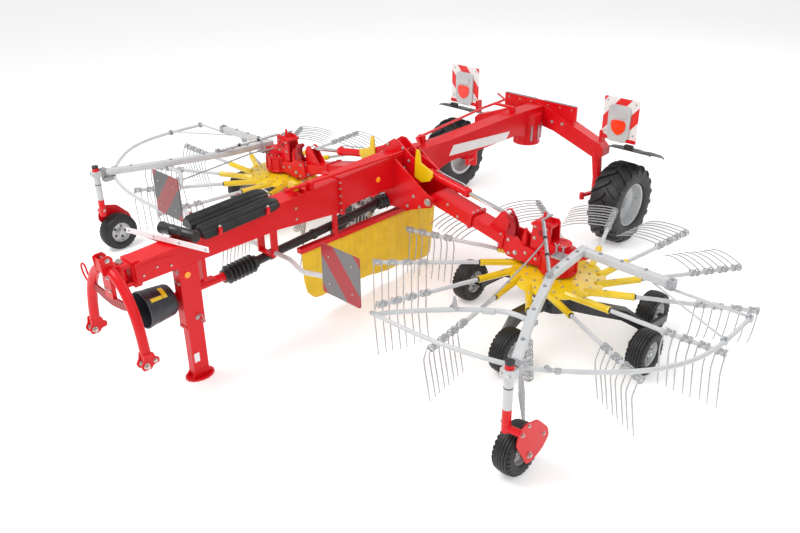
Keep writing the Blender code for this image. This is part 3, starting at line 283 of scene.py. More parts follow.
# ---- materials -----------------------------------------------------------------------------------
def set_inputs(node, **values):
    """Set a node's inputs; an underscore in a name stands for a space."""
    for name, value in values.items():
        node.inputs[name.replace("_", " ")].default_value = value


def add_noise(nodes, links, place, scale, detail):
    noise = nodes.new("ShaderNodeTexNoise")
    set_inputs(noise, Scale=scale, Detail=detail)
    links.new(place.outputs["Object"], noise.inputs["Vector"])
    return noise


def new_skin(name, colour, roughness, metallic=0.0, coat=0.0, bump=0.0, bump_scale=600.0, vary=0.05,
        vary_scale=9.0, rough_vary=0.08, emission=None, dust=0.0, specular=0.5):
    """A procedural finish: colour and roughness drift slowly, and a fine bump breaks the reflections."""
    skin = bpy.data.materials.new(name)
    skin.use_nodes = True
    nodes, links = skin.node_tree.nodes, skin.node_tree.links
    shader = nodes["Principled BSDF"]
    set_inputs(shader, Metallic=metallic, Coat_Weight=coat, Coat_Roughness=0.06,
        Specular_IOR_Level=specular)
    place = nodes.new("ShaderNodeTexCoord")
    drift = add_noise(nodes, links, place, vary_scale, 4.0)
    ramp = nodes.new("ShaderNodeValToRGB")
    dark = [max(0.0, c * (1 - vary)) for c in colour]
    light = [min(1.0, c * (1 + vary) + vary * 0.01) for c in colour]
    for stop, position, tone in zip(ramp.color_ramp.elements, (0.35, 0.65), (dark, light)):
        stop.position = position
        stop.color = (*tone, 1)
    links.new(drift.outputs["Fac"], ramp.inputs["Fac"])
    colour_out = ramp.outputs["Color"]
    if dust > 0:
        colour_out = dusted(nodes, links, place, colour_out, dust)
    links.new(colour_out, shader.inputs["Base Color"])
    spread = nodes.new("ShaderNodeMapRange")
    set_inputs(spread, To_Min=max(0.02, roughness - rough_vary), To_Max=min(1.0, roughness + rough_vary))
    links.new(drift.outputs["Fac"], spread.inputs["Value"])
    links.new(spread.outputs["Result"], shader.inputs["Roughness"])
    if bump > 0:
        grain = add_noise(nodes, links, place, bump_scale, 3.0)
        lift = nodes.new("ShaderNodeBump")
        set_inputs(lift, Strength=bump, Distance=0.0006)
        links.new(grain.outputs["Fac"], lift.inputs["Height"])
        links.new(lift.outputs["Normal"], shader.inputs["Normal"])
    # Emission makes the surface glow: on the floor it keeps the floor evenly bright; on the reflectors and
    # red lenses it is a painted glow.
    if emission:
        set_inputs(shader, Emission_Color=(*colour, 1), Emission_Strength=emission)
    return skin


def dusted(nodes, links, place, colour, amount):
    """Mix a paler, dusty tone into the low parts of the noise."""
    cloud = add_noise(nodes, links, place, 28.0, 6.0)
    keep = nodes.new("ShaderNodeMapRange")
    set_inputs(keep, From_Min=0.45, From_Max=0.75, To_Max=amount)
    links.new(cloud.outputs["Fac"], keep.inputs["Value"])
    mix = nodes.new("ShaderNodeMix")
    mix.data_type = "RGBA"
    set_inputs(mix, B=(0.16, 0.15, 0.14, 1))
    links.new(keep.outputs["Result"], mix.inputs["Factor"])
    links.new(colour, mix.inputs["A"])
    return mix.outputs["Result"]


def striped_skin(name, first, second, centre, slope, period, shift=0.0, roughness=0.35):
    """Diagonal warning stripes in the X-Z plane."""
    skin = new_skin(name, first, roughness, coat=0.3)
    nodes, links = skin.node_tree.nodes, skin.node_tree.links
    shader = nodes["Principled BSDF"]
    place = next(n for n in nodes if n.type == "TEX_COORD")
    split = nodes.new("ShaderNodeSeparateXYZ")
    links.new(place.outputs["Object"], split.inputs["Vector"])
    def math_node(operation, a, b):
        node = nodes.new("ShaderNodeMath")
        node.operation = operation
        for socket, value in zip(node.inputs, (a, b)):
            if isinstance(value, (int, float)):
                socket.default_value = value
            else:
                links.new(value, socket)
        return node.outputs[0]
    x = math_node("SUBTRACT", split.outputs["X"], centre[0])
    z = math_node("SUBTRACT", split.outputs["Z"], centre[1])
    along = math_node("ADD", math_node("MULTIPLY", x, slope), z)
    share = math_node("FRACT", math_node("ADD", math_node("DIVIDE", along, period), shift + 20.0), 0.0)
    pick = math_node("GREATER_THAN", share, 0.5)
    mix = nodes.new("ShaderNodeMix")
    mix.data_type = "RGBA"
    set_inputs(mix, A=(*first, 1), B=(*second, 1))
    links.new(pick, mix.inputs["Factor"])
    links.new(mix.outputs["Result"], shader.inputs["Base Color"])
    return skin


RED = new_skin("red_paint", (0.7, 0.003, 0.008), 0.34, coat=0.12, bump=0.08, bump_scale=260, vary=0.025,
    specular=0.3, vary_scale=3.0)
# Painted shade: a darker copy of the red paint, laid on the plate set back in the arch and on the hooks of
# the rotor heads, where shade falls.
SHADE_RED = new_skin("painted_shade_red", (0.36, 0.003, 0.008), 0.4, coat=0.1, specular=0.3, bump=0.1,
    bump_scale=260, vary=0.1)
YELLOW = new_skin("yellow_paint", (0.84, 0.585, 0.004), 0.34, coat=0.35, bump=0.1, bump_scale=260,
    vary=0.05)
# Painted shade: the white coating is given a mid grey, well below white paint, to stand in for the shade on
# the white tubes.
SHADE_GREYED_WHITE = new_skin("white_coating", (0.56, 0.57, 0.58), 0.32, coat=0.2, bump=0.1, bump_scale=300, vary=0.05)
ZINC = new_skin("galvanised_steel", (0.42, 0.43, 0.45), 0.38, metallic=0.75, bump=0.15, bump_scale=420,
    vary=0.16, vary_scale=60)
SPRING = new_skin("spring_steel", (0.44, 0.45, 0.46), 0.36, metallic=0.3, bump=0.1, bump_scale=500,
    vary=0.1, vary_scale=40)
BLACK = new_skin("black_plastic", (0.016, 0.017, 0.018), 0.34, bump=0.2, bump_scale=900, vary=0.2,
    dust=0.02)
BLACK_PAINT = new_skin("black_paint", (0.022, 0.022, 0.024), 0.36, coat=0.2, bump=0.1, bump_scale=260,
    vary=0.15)
TYRE = new_skin("tyre_rubber", (0.011, 0.011, 0.012), 0.52, bump=0.45, bump_scale=700, vary=0.25,
    vary_scale=30, dust=0.04)
RIM = new_skin("rim_grey", (0.52, 0.53, 0.54), 0.38, metallic=0.35, coat=0.15, bump=0.1, bump_scale=300,
    vary=0.06)
CURTAIN = new_skin("curtain_sheet", (0.84, 0.54, 0.008), 0.48, bump=0.35, bump_scale=900, vary=0.07)
CHROME = new_skin("chromed_rod", (0.8, 0.8, 0.81), 0.1, metallic=1.0, vary=0.03, rough_vary=0.04)
BOLT = new_skin("zinc_bolt", (0.55, 0.54, 0.5), 0.32, metallic=0.9, vary=0.15, vary_scale=80)
# Painted glow: the amber reflectors shine by emission, though they are no lamps.
GLOWING_AMBER = new_skin("amber_reflector_painted_glow", (0.95, 0.3, 0.01), 0.16, coat=0.8, vary=0.04, emission=0.25)
# Painted glow: the red lamp lenses and the red reflector behind each rear board shine by emission, as a
# painted glow rather than a lit lamp.
GLOWING_RED_LENS = new_skin("red_lens_painted_glow", (0.85, 0.03, 0.01), 0.14, coat=0.8, vary=0.04, emission=0.15)
LENS_CLEAR = new_skin("clear_lens", (0.55, 0.56, 0.57), 0.12, coat=0.8, vary=0.05)
LABEL = new_skin("blank_label", (0.86, 0.87, 0.86), 0.3, coat=0.3, vary=0.02)
LABEL_YELLOW = new_skin("blank_yellow_label", (0.9, 0.68, 0.02), 0.34, coat=0.3, vary=0.03)
CUP = new_skin("cup_plastic", (0.026, 0.031, 0.038), 0.36, bump=0.15, bump_scale=900, vary=0.12)
REFLECT_WHITE = new_skin("white_reflector_tape", (0.9, 0.9, 0.91), 0.22, coat=0.5, vary=0.02, bump=0.2,
    bump_scale=1500)


# ---- making pieces -------------------------------------------------------------------------------
def piece(name, shape, skins, body, slot, stands_for=(), smooth=38, bevel=0.0):
    """Turn a shape into an object that rides on a body."""
    mesh = bpy.data.meshes.new(name)
    mesh.from_pydata([tuple(p) for p in shape.points], [], shape.faces)
    bm = bmesh.new()
    bm.from_mesh(mesh)
    for face, tint in zip(bm.faces, shape.tints):
        face.material_index = tint
    bmesh.ops.remove_doubles(bm, verts=bm.verts, dist=2e-6)
    bmesh.ops.dissolve_degenerate(bm, dist=1e-6, edges=bm.edges)
    bmesh.ops.recalc_face_normals(bm, faces=bm.faces)
    bm.to_mesh(mesh)
    bm.free()
    for skin in skins if isinstance(skins, (tuple, list)) else (skins,):
        mesh.materials.append(skin)
    item = bpy.data.objects.new(name, mesh)
    bpy.context.collection.objects.link(item)
    mesh.shade_smooth()
    if bevel:
        add_bevel(item, bevel)
    mesh.set_sharp_from_angle(angle=math.radians(smooth))
    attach(item, body)
    if stands_for:
        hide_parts(*stands_for)
    return item


def add_bevel(item, width, angle=32, segments=2):
    bevel = item.modifiers.new("Bevel", "BEVEL")
    bevel.width = width
    bevel.segments = segments
    bevel.limit_method = "ANGLE"
    bevel.angle_limit = math.radians(angle)
    bevel.harden_normals = True
    bevel.use_clamp_overlap = True
    return bevel


def both(name, shape, skins, body, slot, stands_for=(), **looks):
    """A left-hand piece and its mirrored twin; {} in names stands for the side."""
    for side, sign in LEFT_AND_RIGHT:
        piece(name.format(side), shape if sign > 0 else shape.mirrored(), skins, body.format(side), slot,
            [node.format(side) for node in stands_for], **looks)


def finish_cad(node, skin, bevel=0.0035, angle=32):
    """Keep a CAD node, with its edges eased and a better finish."""
    item = frame["nodes"][node]
    item.data.materials.clear()
    item.data.materials.append(skin)
    weld = item.modifiers.new("Weld", "WELD")
    weld.merge_threshold = 0.00005
    if bevel:
        add_bevel(item, bevel, angle)


# ---- stage ---------------------------------------------------------------------------------------
FLOOR_REACH, FLOOR_DROP = 60.0, 0.001
LAMPS = (("key", (-2.5, -5.0, 9.0), 5.0, 560), ("fill", (8.0, -4.0, 6.0), 8.0, 170),
    ("back", (2.0, 9.0, 8.0), 8.0, 300))
LAMP_AIM = Vector((0, 0, 0.4))
# the photo's camera, found from the wheels' outlines: azimuth, elevation and roll in degrees
CAMERA_PLACE, CAMERA_DEG = (5.3976, -5.3334, 4.0269), (43.888, 26.918, -0.5116)
LENS_MM, SENSOR_MM = 37.41, 36.0


def make_stage():
    mesh = bpy.data.meshes.new("floor")
    corners = rectangle(-FLOOR_REACH, -FLOOR_REACH, FLOOR_REACH, FLOOR_REACH)
    mesh.from_pydata([(x, y, 0) for x, y in corners], [], [(0, 1, 2, 3)])
    item = bpy.data.objects.new("floor", mesh)
    item.location.z = -FLOOR_DROP
    bpy.context.collection.objects.link(item)
    mesh.materials.append(new_skin("floor_white", (0.9, 0.9, 0.9), 0.8, vary=0.004, vary_scale=0.6,
        emission=0.34))
    world = bpy.data.worlds.new("studio")
    bpy.context.scene.world = world
    world.use_nodes = True
    set_inputs(world.node_tree.nodes["Background"], Color=(1.0, 1.0, 1.0, 1), Strength=0.62)
    for name, place, size, power in LAMPS:
        light = bpy.data.lights.new(name, "AREA")
        light.energy = power
        light.size = size
        lamp = bpy.data.objects.new(name, light)
        lamp.location = place
        lamp.rotation_euler = (LAMP_AIM - Vector(place)).to_track_quat("-Z", "Y").to_euler()
        bpy.context.collection.objects.link(lamp)


def make_camera():
    bpy.context.scene.view_settings.view_transform = "Standard"
    camera = bpy.data.cameras.new("camera")
    camera.lens, camera.sensor_width = LENS_MM, SENSOR_MM
    item = bpy.data.objects.new("camera", camera)
    azimuth, elevation, roll = (math.radians(a) for a in CAMERA_DEG)
    item.matrix_world = (Matrix.Translation(CAMERA_PLACE) @ Matrix.Rotation(azimuth, 4, "Z")
        @ Matrix.Rotation(math.pi / 2 - elevation, 4, "X") @ Matrix.Rotation(roll, 4, "Z"))
    bpy.context.collection.objects.link(item)
    bpy.context.scene.camera = item


# ---- rotors --------------------------------------------------------------------------------------
COLLAR_STEPS = 20


def arm_point(radius):
    """Point on an arm at a distance from the rotor axis, with the tip on the X axis."""
    lean = math.asin(ARM_OFFSET / ARM_TIP)
    ahead = Vector((math.cos(lean), math.sin(lean), 0))
    foot = Vector((ARM_OFFSET * math.sin(lean), -ARM_OFFSET * math.cos(lean), 0))
    return foot + ahead * math.sqrt(max(radius ** 2 - ARM_OFFSET ** 2, 0)) + Vector((0, 0, ARM_Z)), ahead


def arm_turn(k):
    return (Matrix.Translation((ROTOR.x, ROTOR.y, 0)) @ Matrix.Rotation(math.radians(FIRST_ARM_DEG + 360.0
        * k / ARM_COUNT), 4, "Z"))


def rotor_hub():
    """The lobed yellow disc with its raised middle and the sockets of the arms."""
    shape = Shape()
    steps = ARM_COUNT * 8
    def ring(radius, z, lobe):
        swell = [1 + lobe * math.cos(ARM_COUNT * 2 * math.pi * i / steps) for i in range(steps)]
        return [(a * share, b * share, z) for share, (a, b) in zip(swell, circle(radius, steps))]
    rings = [ring(0.06, 0.594, 0), ring(0.3, 0.594, 0), ring(0.318, 0.603, 0), ring(0.395, 0.612, 0.012),
        ring(0.41, 0.622, 0.012), ring(0.415, 0.634, 0.012), ring(0.411, 0.646, 0.012),
        ring(0.395, 0.655, 0.01), ring(0.33, 0.66, 0.01), ring(0.318, 0.668, 0), ring(0.245, 0.671, 0),
        ring(0.235, 0.676, 0), ring(0.06, 0.676, 0)]
    shape.loft(rings, caps=False)
    bolts = Shape()
    for radius, count, size, turn in ((0.355, ARM_COUNT, 0.015, 0.5), (0.275, ARM_COUNT, 0.015, 0.0),
            (0.195, 8, 0.014, 0.0)):
        z = 0.657 if radius > 0.33 else 0.67 if radius > 0.24 else 0.676
        for a, b in circle(radius, count, turn):
            bolts.bolt((a, b, z), "Z", size)
    centre = Matrix.Translation((ROTOR.x, ROTOR.y, 0)) @ Matrix.Rotation(math.radians(FIRST_ARM_DEG - 12),
        4, "Z")
    shape.turned(centre)
    bolts.turned(centre)
    for k in range(ARM_COUNT):
        socket = Shape()
        inner, ahead = arm_point(SOCKET_FROM)
        outer, _ = arm_point(SOCKET_TO)
        path = [inner, blend(inner, outer, 0.12), blend(inner, outer, 0.3), outer - ahead * 0.022,
            outer - ahead * 0.018, outer]
        socket.tube(path, [0.031, 0.0345, 0.0325, 0.03, 0.0325, 0.0325], 8)
        side = Vector((-ahead.y, ahead.x, 0))
        ear = blend(inner, outer, 0.1)
        corners = [ear + side * a + ahead * b + Vector((0, 0, z)) for z in (-0.016, 0.012) for a,
            b in ((-0.038, -0.05), (0.038, -0.05), (0.033, 0.035), (-0.033, 0.035))]
        socket.loft([corners[:4], corners[4:]])
        shape.merge(socket.turned(arm_turn(k)))
        fixing = Shape()
        fixing.bolt(blend(inner, outer, 0.42) + Vector((0, 0, 0.029)), "Z", 0.013)
        bolts.merge(fixing.turned(arm_turn(k)))
    return shape, bolts


def rotor_arms():
    shape = Shape()
    for k in range(ARM_COUNT):
        arm = Shape()
        start, ahead = arm_point(ARM_FROM)
        bend, _ = arm_point(ARM_BEND)
        tip, _ = arm_point(ARM_TIP)
        dip = Vector((0, 0, -0.006))
        path = [start, blend(start, bend, 0.6), bend, blend(bend, tip, 0.05) + dip * 0.5,
            blend(bend, tip, 0.5) + dip, tip, tip + ahead * 0.01, tip + ahead * 0.0125]
        arm.tube(path, [0.0185] * 6 + [0.0165, 0.01], 14)
        arm.disc((0, 0, 0), "X", 0.024, -0.006, 0.006, COLLAR_STEPS, tint=1)
        shape.merge(collar_at(arm, start + ahead * 0.022, ahead).turned(arm_turn(k)))
    return shape


def collar_at(arm, place, ahead):
    """Move the disc that was made last (at the origin, along X) onto the arm."""
    count = COLLAR_STEPS * 6     # a disc has six points a step
    spot = Matrix.Translation(place) @ ahead.to_track_quat("X", "Z").to_matrix().to_4x4()
    arm.points[-count:] = [spot @ p for p in arm.points[-count:]]
    return arm


def tine_path(start, bend, end, steps=7):
    return bezier(Vector(start), Vector(bend), Vector(end), steps)


def rotor_tines():
    """Coils in pairs on each arm, each with two long tines, and the clamps that hold them."""
    shape = Shape()
    wire, coil_r = 0.0056, 0.03
    down = Vector((0, 0, -1))
    for k in range(ARM_COUNT):
        set_of_four = Shape()
        for radius in TINE_RADII:
            middle, ahead = arm_point(radius)
            behind = Vector((-ahead.y, ahead.x, 0))
            for sign in (-1, 1):
                centre = middle + ahead * sign * 0.0265
                set_of_four.coil(centre, ahead, coil_r, wire * 0.64, 2.25, 0.0102, 90)
                foot = middle + ahead * sign * 0.0375
                if k in RAISED_ARMS:
                    droop = 0.006 * (k - 10)
                    start = foot - down * coil_r * 0.9
                    path = tine_path(start, start + behind * 0.3 + down * -0.02,
                        start + behind * 0.455 + down * (0.078 + droop))
                elif k == TILTED_ARM:
                    start = foot + behind * coil_r * 0.8
                    path = tine_path(start, start + behind * 0.06 + down * 0.3,
                        start + behind * 0.2 + down * 0.445)
                else:
                    start = foot - behind * coil_r
                    kink = start - behind * 0.036 + down * 0.125
                    end = foot + down * 0.489
                    path = [start] + tine_path(blend(kink, start, 0.25), kink, blend(kink, end, 0.1),
                        4) + [blend(kink, end, 0.55), end]
                set_of_four.tube(path, [wire] * (len(path) - 1) + [wire * 0.7], 6)
            clamp_box(set_of_four, middle, ahead, behind)
        shape.merge(set_of_four.turned(arm_turn(k)))
    return shape


def clamp_box(shape, middle, ahead, behind):
    """The saddle and bolt between a coil's two halves."""
    up = Vector((0, 0, 1))
    def corner(a, b, c):
        return middle + ahead * a + behind * b + up * c
    sides = ((-0.0065, -0.013), (0.0065, -0.013), (0.0065, 0.013), (-0.0065, 0.013))
    shape.loft([[corner(a, b, -0.022) for a, b in sides], [corner(a, b, 0.022) for a, b in sides]])
    shape.bolt(middle + up * 0.022, "Z", 0.012)
    shape.bolt(middle - up * 0.022, "Z", 0.012, sign=-1)


def make_rotors():
    hub, bolts = rotor_hub()
    both("rotor_hub_{}", hub, YELLOW, "rotor_{}", "yellow_paint", ["rotor_{}"])
    both("rotor_hub_bolts_{}", bolts, BOLT, "rotor_{}", "rim_grey")
    both("rotor_arms_{}", rotor_arms(), (SHADE_GREYED_WHITE, BLACK), "rotor_{}", "white_coating")
    both("rotor_tines_{}", rotor_tines(), SPRING, "rotor_{}", "rim_grey", smooth=60)


# ---- small wheels --------------------------------------------------------------------------------
SHOULDER_BLOCKS = 28
REAR_LUGS, LUG_STEPS = 19, 7


def small_tyre(centre):
    half, r = SMALL_W / 2, SMALL_R
    bead = 0.108
    crown = []
    ribs = 5
    for i in range(ribs):
        left = blend(-0.058, 0.058, i / ribs)
        right = blend(-0.058, 0.058, (i + 1) / ribs)
        drop = 0.01 * ((left + right) / 2 / 0.058) ** 2
        crown += [(r - 0.0075 - drop, left + 0.0004), (r - 0.0005 - drop, left + 0.003),
            (r - 0.0005 - drop, right - 0.003), (r - 0.0075 - drop, right - 0.0004)]
    left_side = [(bead, -half + 0.03), (bead + 0.004, -half + 0.014), (bead + 0.02, -half + 0.004),
        (bead + 0.03, -half + 0.001), (bead + 0.034, -half + 0.0035), (bead + 0.048, -half + 0.0015),
        (r - 0.034, -half + 0.004), (r - 0.022, -half + 0.012)]
    right_side = [(a, -b) for a, b in left_side[::-1]]
    shape = Shape().spin(left_side + crown + right_side, centre, "X", 56)
    # shoulder blocks
    for i in range(SHOULDER_BLOCKS):
        a = 2 * math.pi * i / SHOULDER_BLOCKS
        for side in (-1, 1):
            low_x, high_x = side * (half - 0.019), side * (half - 0.0045)
            corners = ((r - 0.02, low_x), (r - 0.008, low_x), (r - 0.02, high_x), (r - 0.034, high_x))
            shape.loft([[centre + polar("X", radius, turn, x) for radius, x in corners] for turn
                in (a, a + 0.13)])
    return shape


def small_rim(centre, outward):
    """A dished rim with five round holes, its hub and its bolts; `outward` is the side that shows."""
    shape = Shape()
    flange = [(0.112, -0.064), (0.119, -0.062), (0.121, -0.056), (0.112, -0.052), (0.106, -0.03),
        (0.1, 0.0), (0.106, 0.03), (0.112, 0.052), (0.121, 0.056), (0.119, 0.062), (0.112, 0.064),
        (0.103, 0.05), (0.096, 0.028), (0.092, 0.0), (0.096, -0.028), (0.103, -0.05)]
    shape.spin(flange, centre, "X", 40)
    dish_x = outward * 0.03
    holes, hole_r, ring_r = 5, 0.017, 0.066
    steps = 60
    for face_x in (dish_x, dish_x - outward * 0.004):
        shape.merge(dish_face(centre, face_x, holes, hole_r, ring_r, steps))
    for a, b in circle(ring_r, holes):
        shape.spin([(hole_r, dish_x), (hole_r, dish_x - outward * 0.004)], centre + Vector((0, a, b)), "X",
            20, wrap=False)
    for radius, near, far, steps in ((0.034, 0.02, 0.055, 28), (0.02, 0.05, 0.068, 24)):
        shape.disc(centre, "X", radius, *sorted((outward * near, outward * far)), steps)
    for a, b in circle(0.045, holes, 0.5):
        shape.bolt(centre + Vector((dish_x, a, b)), "X", 0.011, outward)
    return shape


def dish_face(centre, face_x, holes, hole_r, ring_r, steps):
    """A flat ring with round holes: the points of an annulus are pushed out of each hole."""
    radii = (0.0, 0.025, 0.045, 0.056, 0.066, 0.076, 0.086, 0.095, 0.101)
    spots = [Vector(spot) for spot in circle(ring_r, holes)]
    flat = []
    for radius in radii:
        for corner in circle(radius, steps):
            p = Vector(corner)
            for spot in spots:
                away = p - spot
                if away.length < hole_r:
                    p = spot + (away.normalized() if away.length > 1e-4 else Vector((1, 0))) * hole_r
            flat.append(p)
    faces = [face for face in grid_faces(len(radii), steps) if sum((flat[n] - spot).length < hole_r + 1e-5
        for n in face for spot in spots) < 4]
    return Shape().add([centre + Vector((face_x, p.x, p.y)) for p in flat], faces)


def make_small_wheels():
    names = ["rotor_wheel_front_{}", "rotor_wheel_outer_front_{}", "rotor_wheel_outer_rear_{}",
        "rotor_wheel_inner_front_{}", "rotor_wheel_inner_rear_{}", "sensing_wheel_{}"]
    for name in names:
        left = name.format("left")
        joint = JOINTS[left + "_spin"] if left + "_spin" in JOINTS else JOINTS["sensing_wheel_spin_left"]
        centre = Vector(joint["pos_m"])
        both(name + "_tyre", small_tyre(centre), TYRE, name, "tyre_rubber", [name], smooth=30)
        rim = small_rim(centre, 1)
        rim.merge(small_rim(centre, -1))
        both(name + "_rim", rim, RIM, name, "rim_grey", smooth=35)


# ---- rear wheels ---------------------------------------------------------------------------------
def rear_tyre():
    """Carcass with rounded shoulders and two rows of slanted lugs."""
    half, r = REAR_W / 2, REAR_R
    carcass_r = r - 0.028
    profile = [(RIM_R + 0.002, -half + 0.036), (RIM_R + 0.01, -half + 0.018), (RIM_R + 0.04, -half + 0.005),
        (RIM_R + 0.08, -half + 0.001), (RIM_R + 0.12, -half + 0.004), (carcass_r - 0.03, -half + 0.014),
        (carcass_r - 0.01, -half + 0.03), (carcass_r, -half + 0.075), (carcass_r + 0.004, 0.0)]
    profile += [(a, -b) for a, b in profile[-2::-1]]
    shape = Shape().spin(profile, REAR_WHEEL, "X", 72)
    def skin_point(x, turn, height):
        edge = half - 0.002
        share = abs(x) / edge
        radius = carcass_r + 0.002 - 0.05 * max(0.0, share - 0.62) ** 2 / 0.1444 - 0.004 * share
        return REAR_WHEEL + polar("X", radius + height, turn, x)
    for side in (-1, 1):
        for i in range(REAR_LUGS):
            start = 2 * math.pi * (i + (0.5 if side > 0 else 0.0)) / REAR_LUGS
            rings = []
            for t in (j / LUG_STEPS for j in range(LUG_STEPS + 1)):
                x = side * blend(-0.012, half - 0.003, t)
                turn = start + 0.33 * t ** 0.85
                width, height = blend(0.038, 0.052, t), blend(0.024, 0.026, t)
                section = ((-width * 0.62, -0.004), (-width * 0.42, height), (width * 0.42, height),
                    (width * 0.62, -0.004))
                rings.append([skin_point(x, turn + w / r, h) for w, h in section])
            section = ((-0.03, -0.03), (-0.022, -0.012), (0.022, -0.012), (0.03, -0.03))
            rings.append([skin_point(side * (half - 0.001), start + 0.345 + w / r, h) for w, h in section])
            shape.loft(rings)
    return shape


def rear_rim():
    half = 0.145
    shape = Shape()
    profile = [(0.205, -half + 0.004), (0.236, -half), (0.243, -half + 0.004), (0.243, -half + 0.014),
        (0.232, -half + 0.022), (0.226, -half + 0.05), (0.205, -0.04), (0.205, 0.04), (0.226, half - 0.05),
        (0.232, half - 0.022), (0.243, half - 0.014), (0.243, half - 0.004), (0.236, half),
        (0.226, half - 0.006), (0.219, half - 0.028), (0.211, half - 0.055), (0.196, 0.045), (0.17, 0.03),
        (0.12, 0.018), (0.095, 0.022), (0.09, 0.034), (0.074, 0.036), (0.07, 0.02), (0.0, 0.02),
        (0.0, -0.02), (0.1, -0.02), (0.19, -0.03)]
    shape.spin(profile, REAR_WHEEL, "X", 64, wrap=True)
    dark = Shape()
    dark.disc(REAR_WHEEL, "X", 0.034, 0.021, 0.03, 28)
    bolts = Shape()
    for a, b in circle(0.052, 6):
        bolts.bolt(REAR_WHEEL + Vector((0.02, a, b)), "X", 0.014)
    valve = REAR_WHEEL + Vector((0.07, 0.196, 0.0))
    bolts.tube([valve, valve + Vector((0.035, -0.004, 0))], 0.005, 8)
    return shape, dark, bolts


def make_rear_wheels():
    wheel = "rear_wheel_{}"
    both("rear_tyre_lugged_{}", rear_tyre(), TYRE, wheel, "tyre_rubber", ["rear_tyre_{}"], smooth=32)
    rim, dark, bolts = rear_rim()
    both("rear_rim_dished_{}", rim, RIM, wheel, "rim_grey", ["rear_rim_{}"], smooth=32)
    both("rear_hub_cap_{}", dark, BLACK_PAINT, wheel, "black_paint")
    both("rear_wheel_bolts_{}", bolts, BOLT, wheel, "rim_grey")


# ---- headstock, jack and drive line --------------------------------------------------------------
ARCH_Y = -2.87
HITCH_X, HITCH_Z = 0.389, 0.573
JACK_X, JACK_Y = 0.05, -2.25


def headstock():
    half = [(0.389, 0.6), (0.374, 0.7), (0.352, 0.83), (0.305, 0.98), (0.215, 1.125), (0.11, 1.205)]
    path = [(-x, ARCH_Y, z) for x, z in half] + [(0, ARCH_Y, 1.23)] + [(x, ARCH_Y, z) for x,
        z in half[::-1]]
    shape = Shape().tube(smooth_path(path), 0.04, 24)
    pins = Shape()
    plate = rounded_outline([(-0.04, 0.665), (0.04, 0.665), (0.052, 0.62), (0.082, 0.605), (0.078, 0.565),
        (0.03, 0.56), (0.005, 0.532), (-0.058, 0.535), (-0.073, 0.575), (-0.048, 0.61)], 0.012)
    for side in (-1, 1):
        for offset in (-0.034, 0.034):
            x = side * HITCH_X + offset
            shape.prism([(ARCH_Y + a, b) for a, b in plate], "X", x - 0.008, x + 0.008)
            pins.disc((x, ARCH_Y - 0.03, HITCH_Z), "X", 0.024, -0.013, 0.013, 24)
        shape.slab(side * HITCH_X - 0.03, 0.6, side * HITCH_X + 0.03, 0.66, 0.008, "Y", ARCH_Y - 0.035,
            ARCH_Y + 0.035)
        pins.disc((side * HITCH_X, ARCH_Y - 0.03, HITCH_Z), "X", 0.014, -0.073, 0.073, 24)
        pins.bolt((side * (HITCH_X + 0.043), ARCH_Y + 0.045, 0.59), "X", 0.02, side)
    low = [(-0.32, 0.93), (-0.255, 0.965), (-0.15, 0.935), (0.0, 0.918), (0.15, 0.935), (0.255, 0.965),
        (0.32, 0.93)]
    high = [(0.285, 1.04), (0.2, 1.015), (0.0, 1.0), (-0.2, 1.015), (-0.285, 1.04)]
    # The plate set into the arch takes the second material, the darker red of painted shade.
    shape.prism(rounded_outline(low + high, 0.03), "Y", ARCH_Y - 0.01, ARCH_Y + 0.006, tint=1)
    shape.slab(-0.045, 1.086, 0.045, 1.194, 0.008, "Y", ARCH_Y - 0.01, HEAD_PIVOT.y)
    shape.slab(-0.06, 0.985, 0.06, 1.243, 0.012, "Y", ARCH_Y - 0.02, ARCH_Y + 0.014)
    shape.disc((0, HEAD_PIVOT.y, 0), "Z", 0.046, 1.086, 1.194, 28)
    pins.disc((0, HEAD_PIVOT.y, 0), "Z", 0.0272, 1.034, 1.254, 28)
    pins.bolt((0, HEAD_PIVOT.y, 1.252), "Z", 0.03)
    ear = rounded_outline([(-0.06, 1.2), (0.025, 1.2), (0.035, 1.32), (0.01, 1.35), (-0.05, 1.35),
        (-0.073, 1.335)], 0.008)
    for side in (-1, 1):
        shape.prism([(ARCH_Y + a, b) for a, b in ear], "X", side * 0.048 - 0.006, side * 0.048 + 0.006)
        pins.bolt((side * 0.054, ARCH_Y - 0.012, 1.315), "X", 0.022, side)
        pins.bolt((side * 0.034, ARCH_Y - 0.02, 1.06), "Y", 0.018, -1)
        pins.bolt((side * 0.034, ARCH_Y - 0.02, 1.17), "Y", 0.018, -1)
    shape.box((-0.042, ARCH_Y - 0.05, 1.24), (0.042, ARCH_Y + 0.02, 1.262))
    pins.disc((0, ARCH_Y - 0.012, 1.315), "X", 0.0125, -0.052, 0.052, 20)
    shape.box((-0.0425, ARCH_Y - 0.062, 1.225), (0.0425, ARCH_Y - 0.055, 1.335))
    return shape, pins


def handle_loop():
    """The thin wire handle beside the arch."""
    loop = smooth_path([(-0.325, ARCH_Y - 0.01, 0.985), (-0.372, ARCH_Y - 0.02, 1.06),
        (-0.392, ARCH_Y - 0.02, 1.12), (-0.38, ARCH_Y - 0.015, 1.15), (-0.35, ARCH_Y - 0.01, 1.14),
        (-0.318, ARCH_Y - 0.01, 1.075), (-0.275, ARCH_Y, 1.035)])
    return Shape().tube(loop, 0.0075, 12)


def band(low, high, edge):
    """Profile of a raised band for lathe()."""
    return [(low, 0.0), (high, edge), (high, 1 - edge), (low, 1.0)]


def lathe(shape, start, end, profile, steps=28, tint=0):
    """Turn a profile of (radius, share of the way) round the line from start to end."""
    start, end = Vector(start), Vector(end)
    length = (end - start).length
    rod = Shape().spin([(r, t * length) for r, t in [(0.0, profile[0][1])] + list(profile)
        + [(0.0, profile[-1][1])]], (0, 0, 0), "Z", steps, tint, wrap=False)
    rod.turned(Matrix.Translation(start) @ (end - start).to_track_quat("Z", "Y").to_matrix().to_4x4())
    return shape.merge(rod)


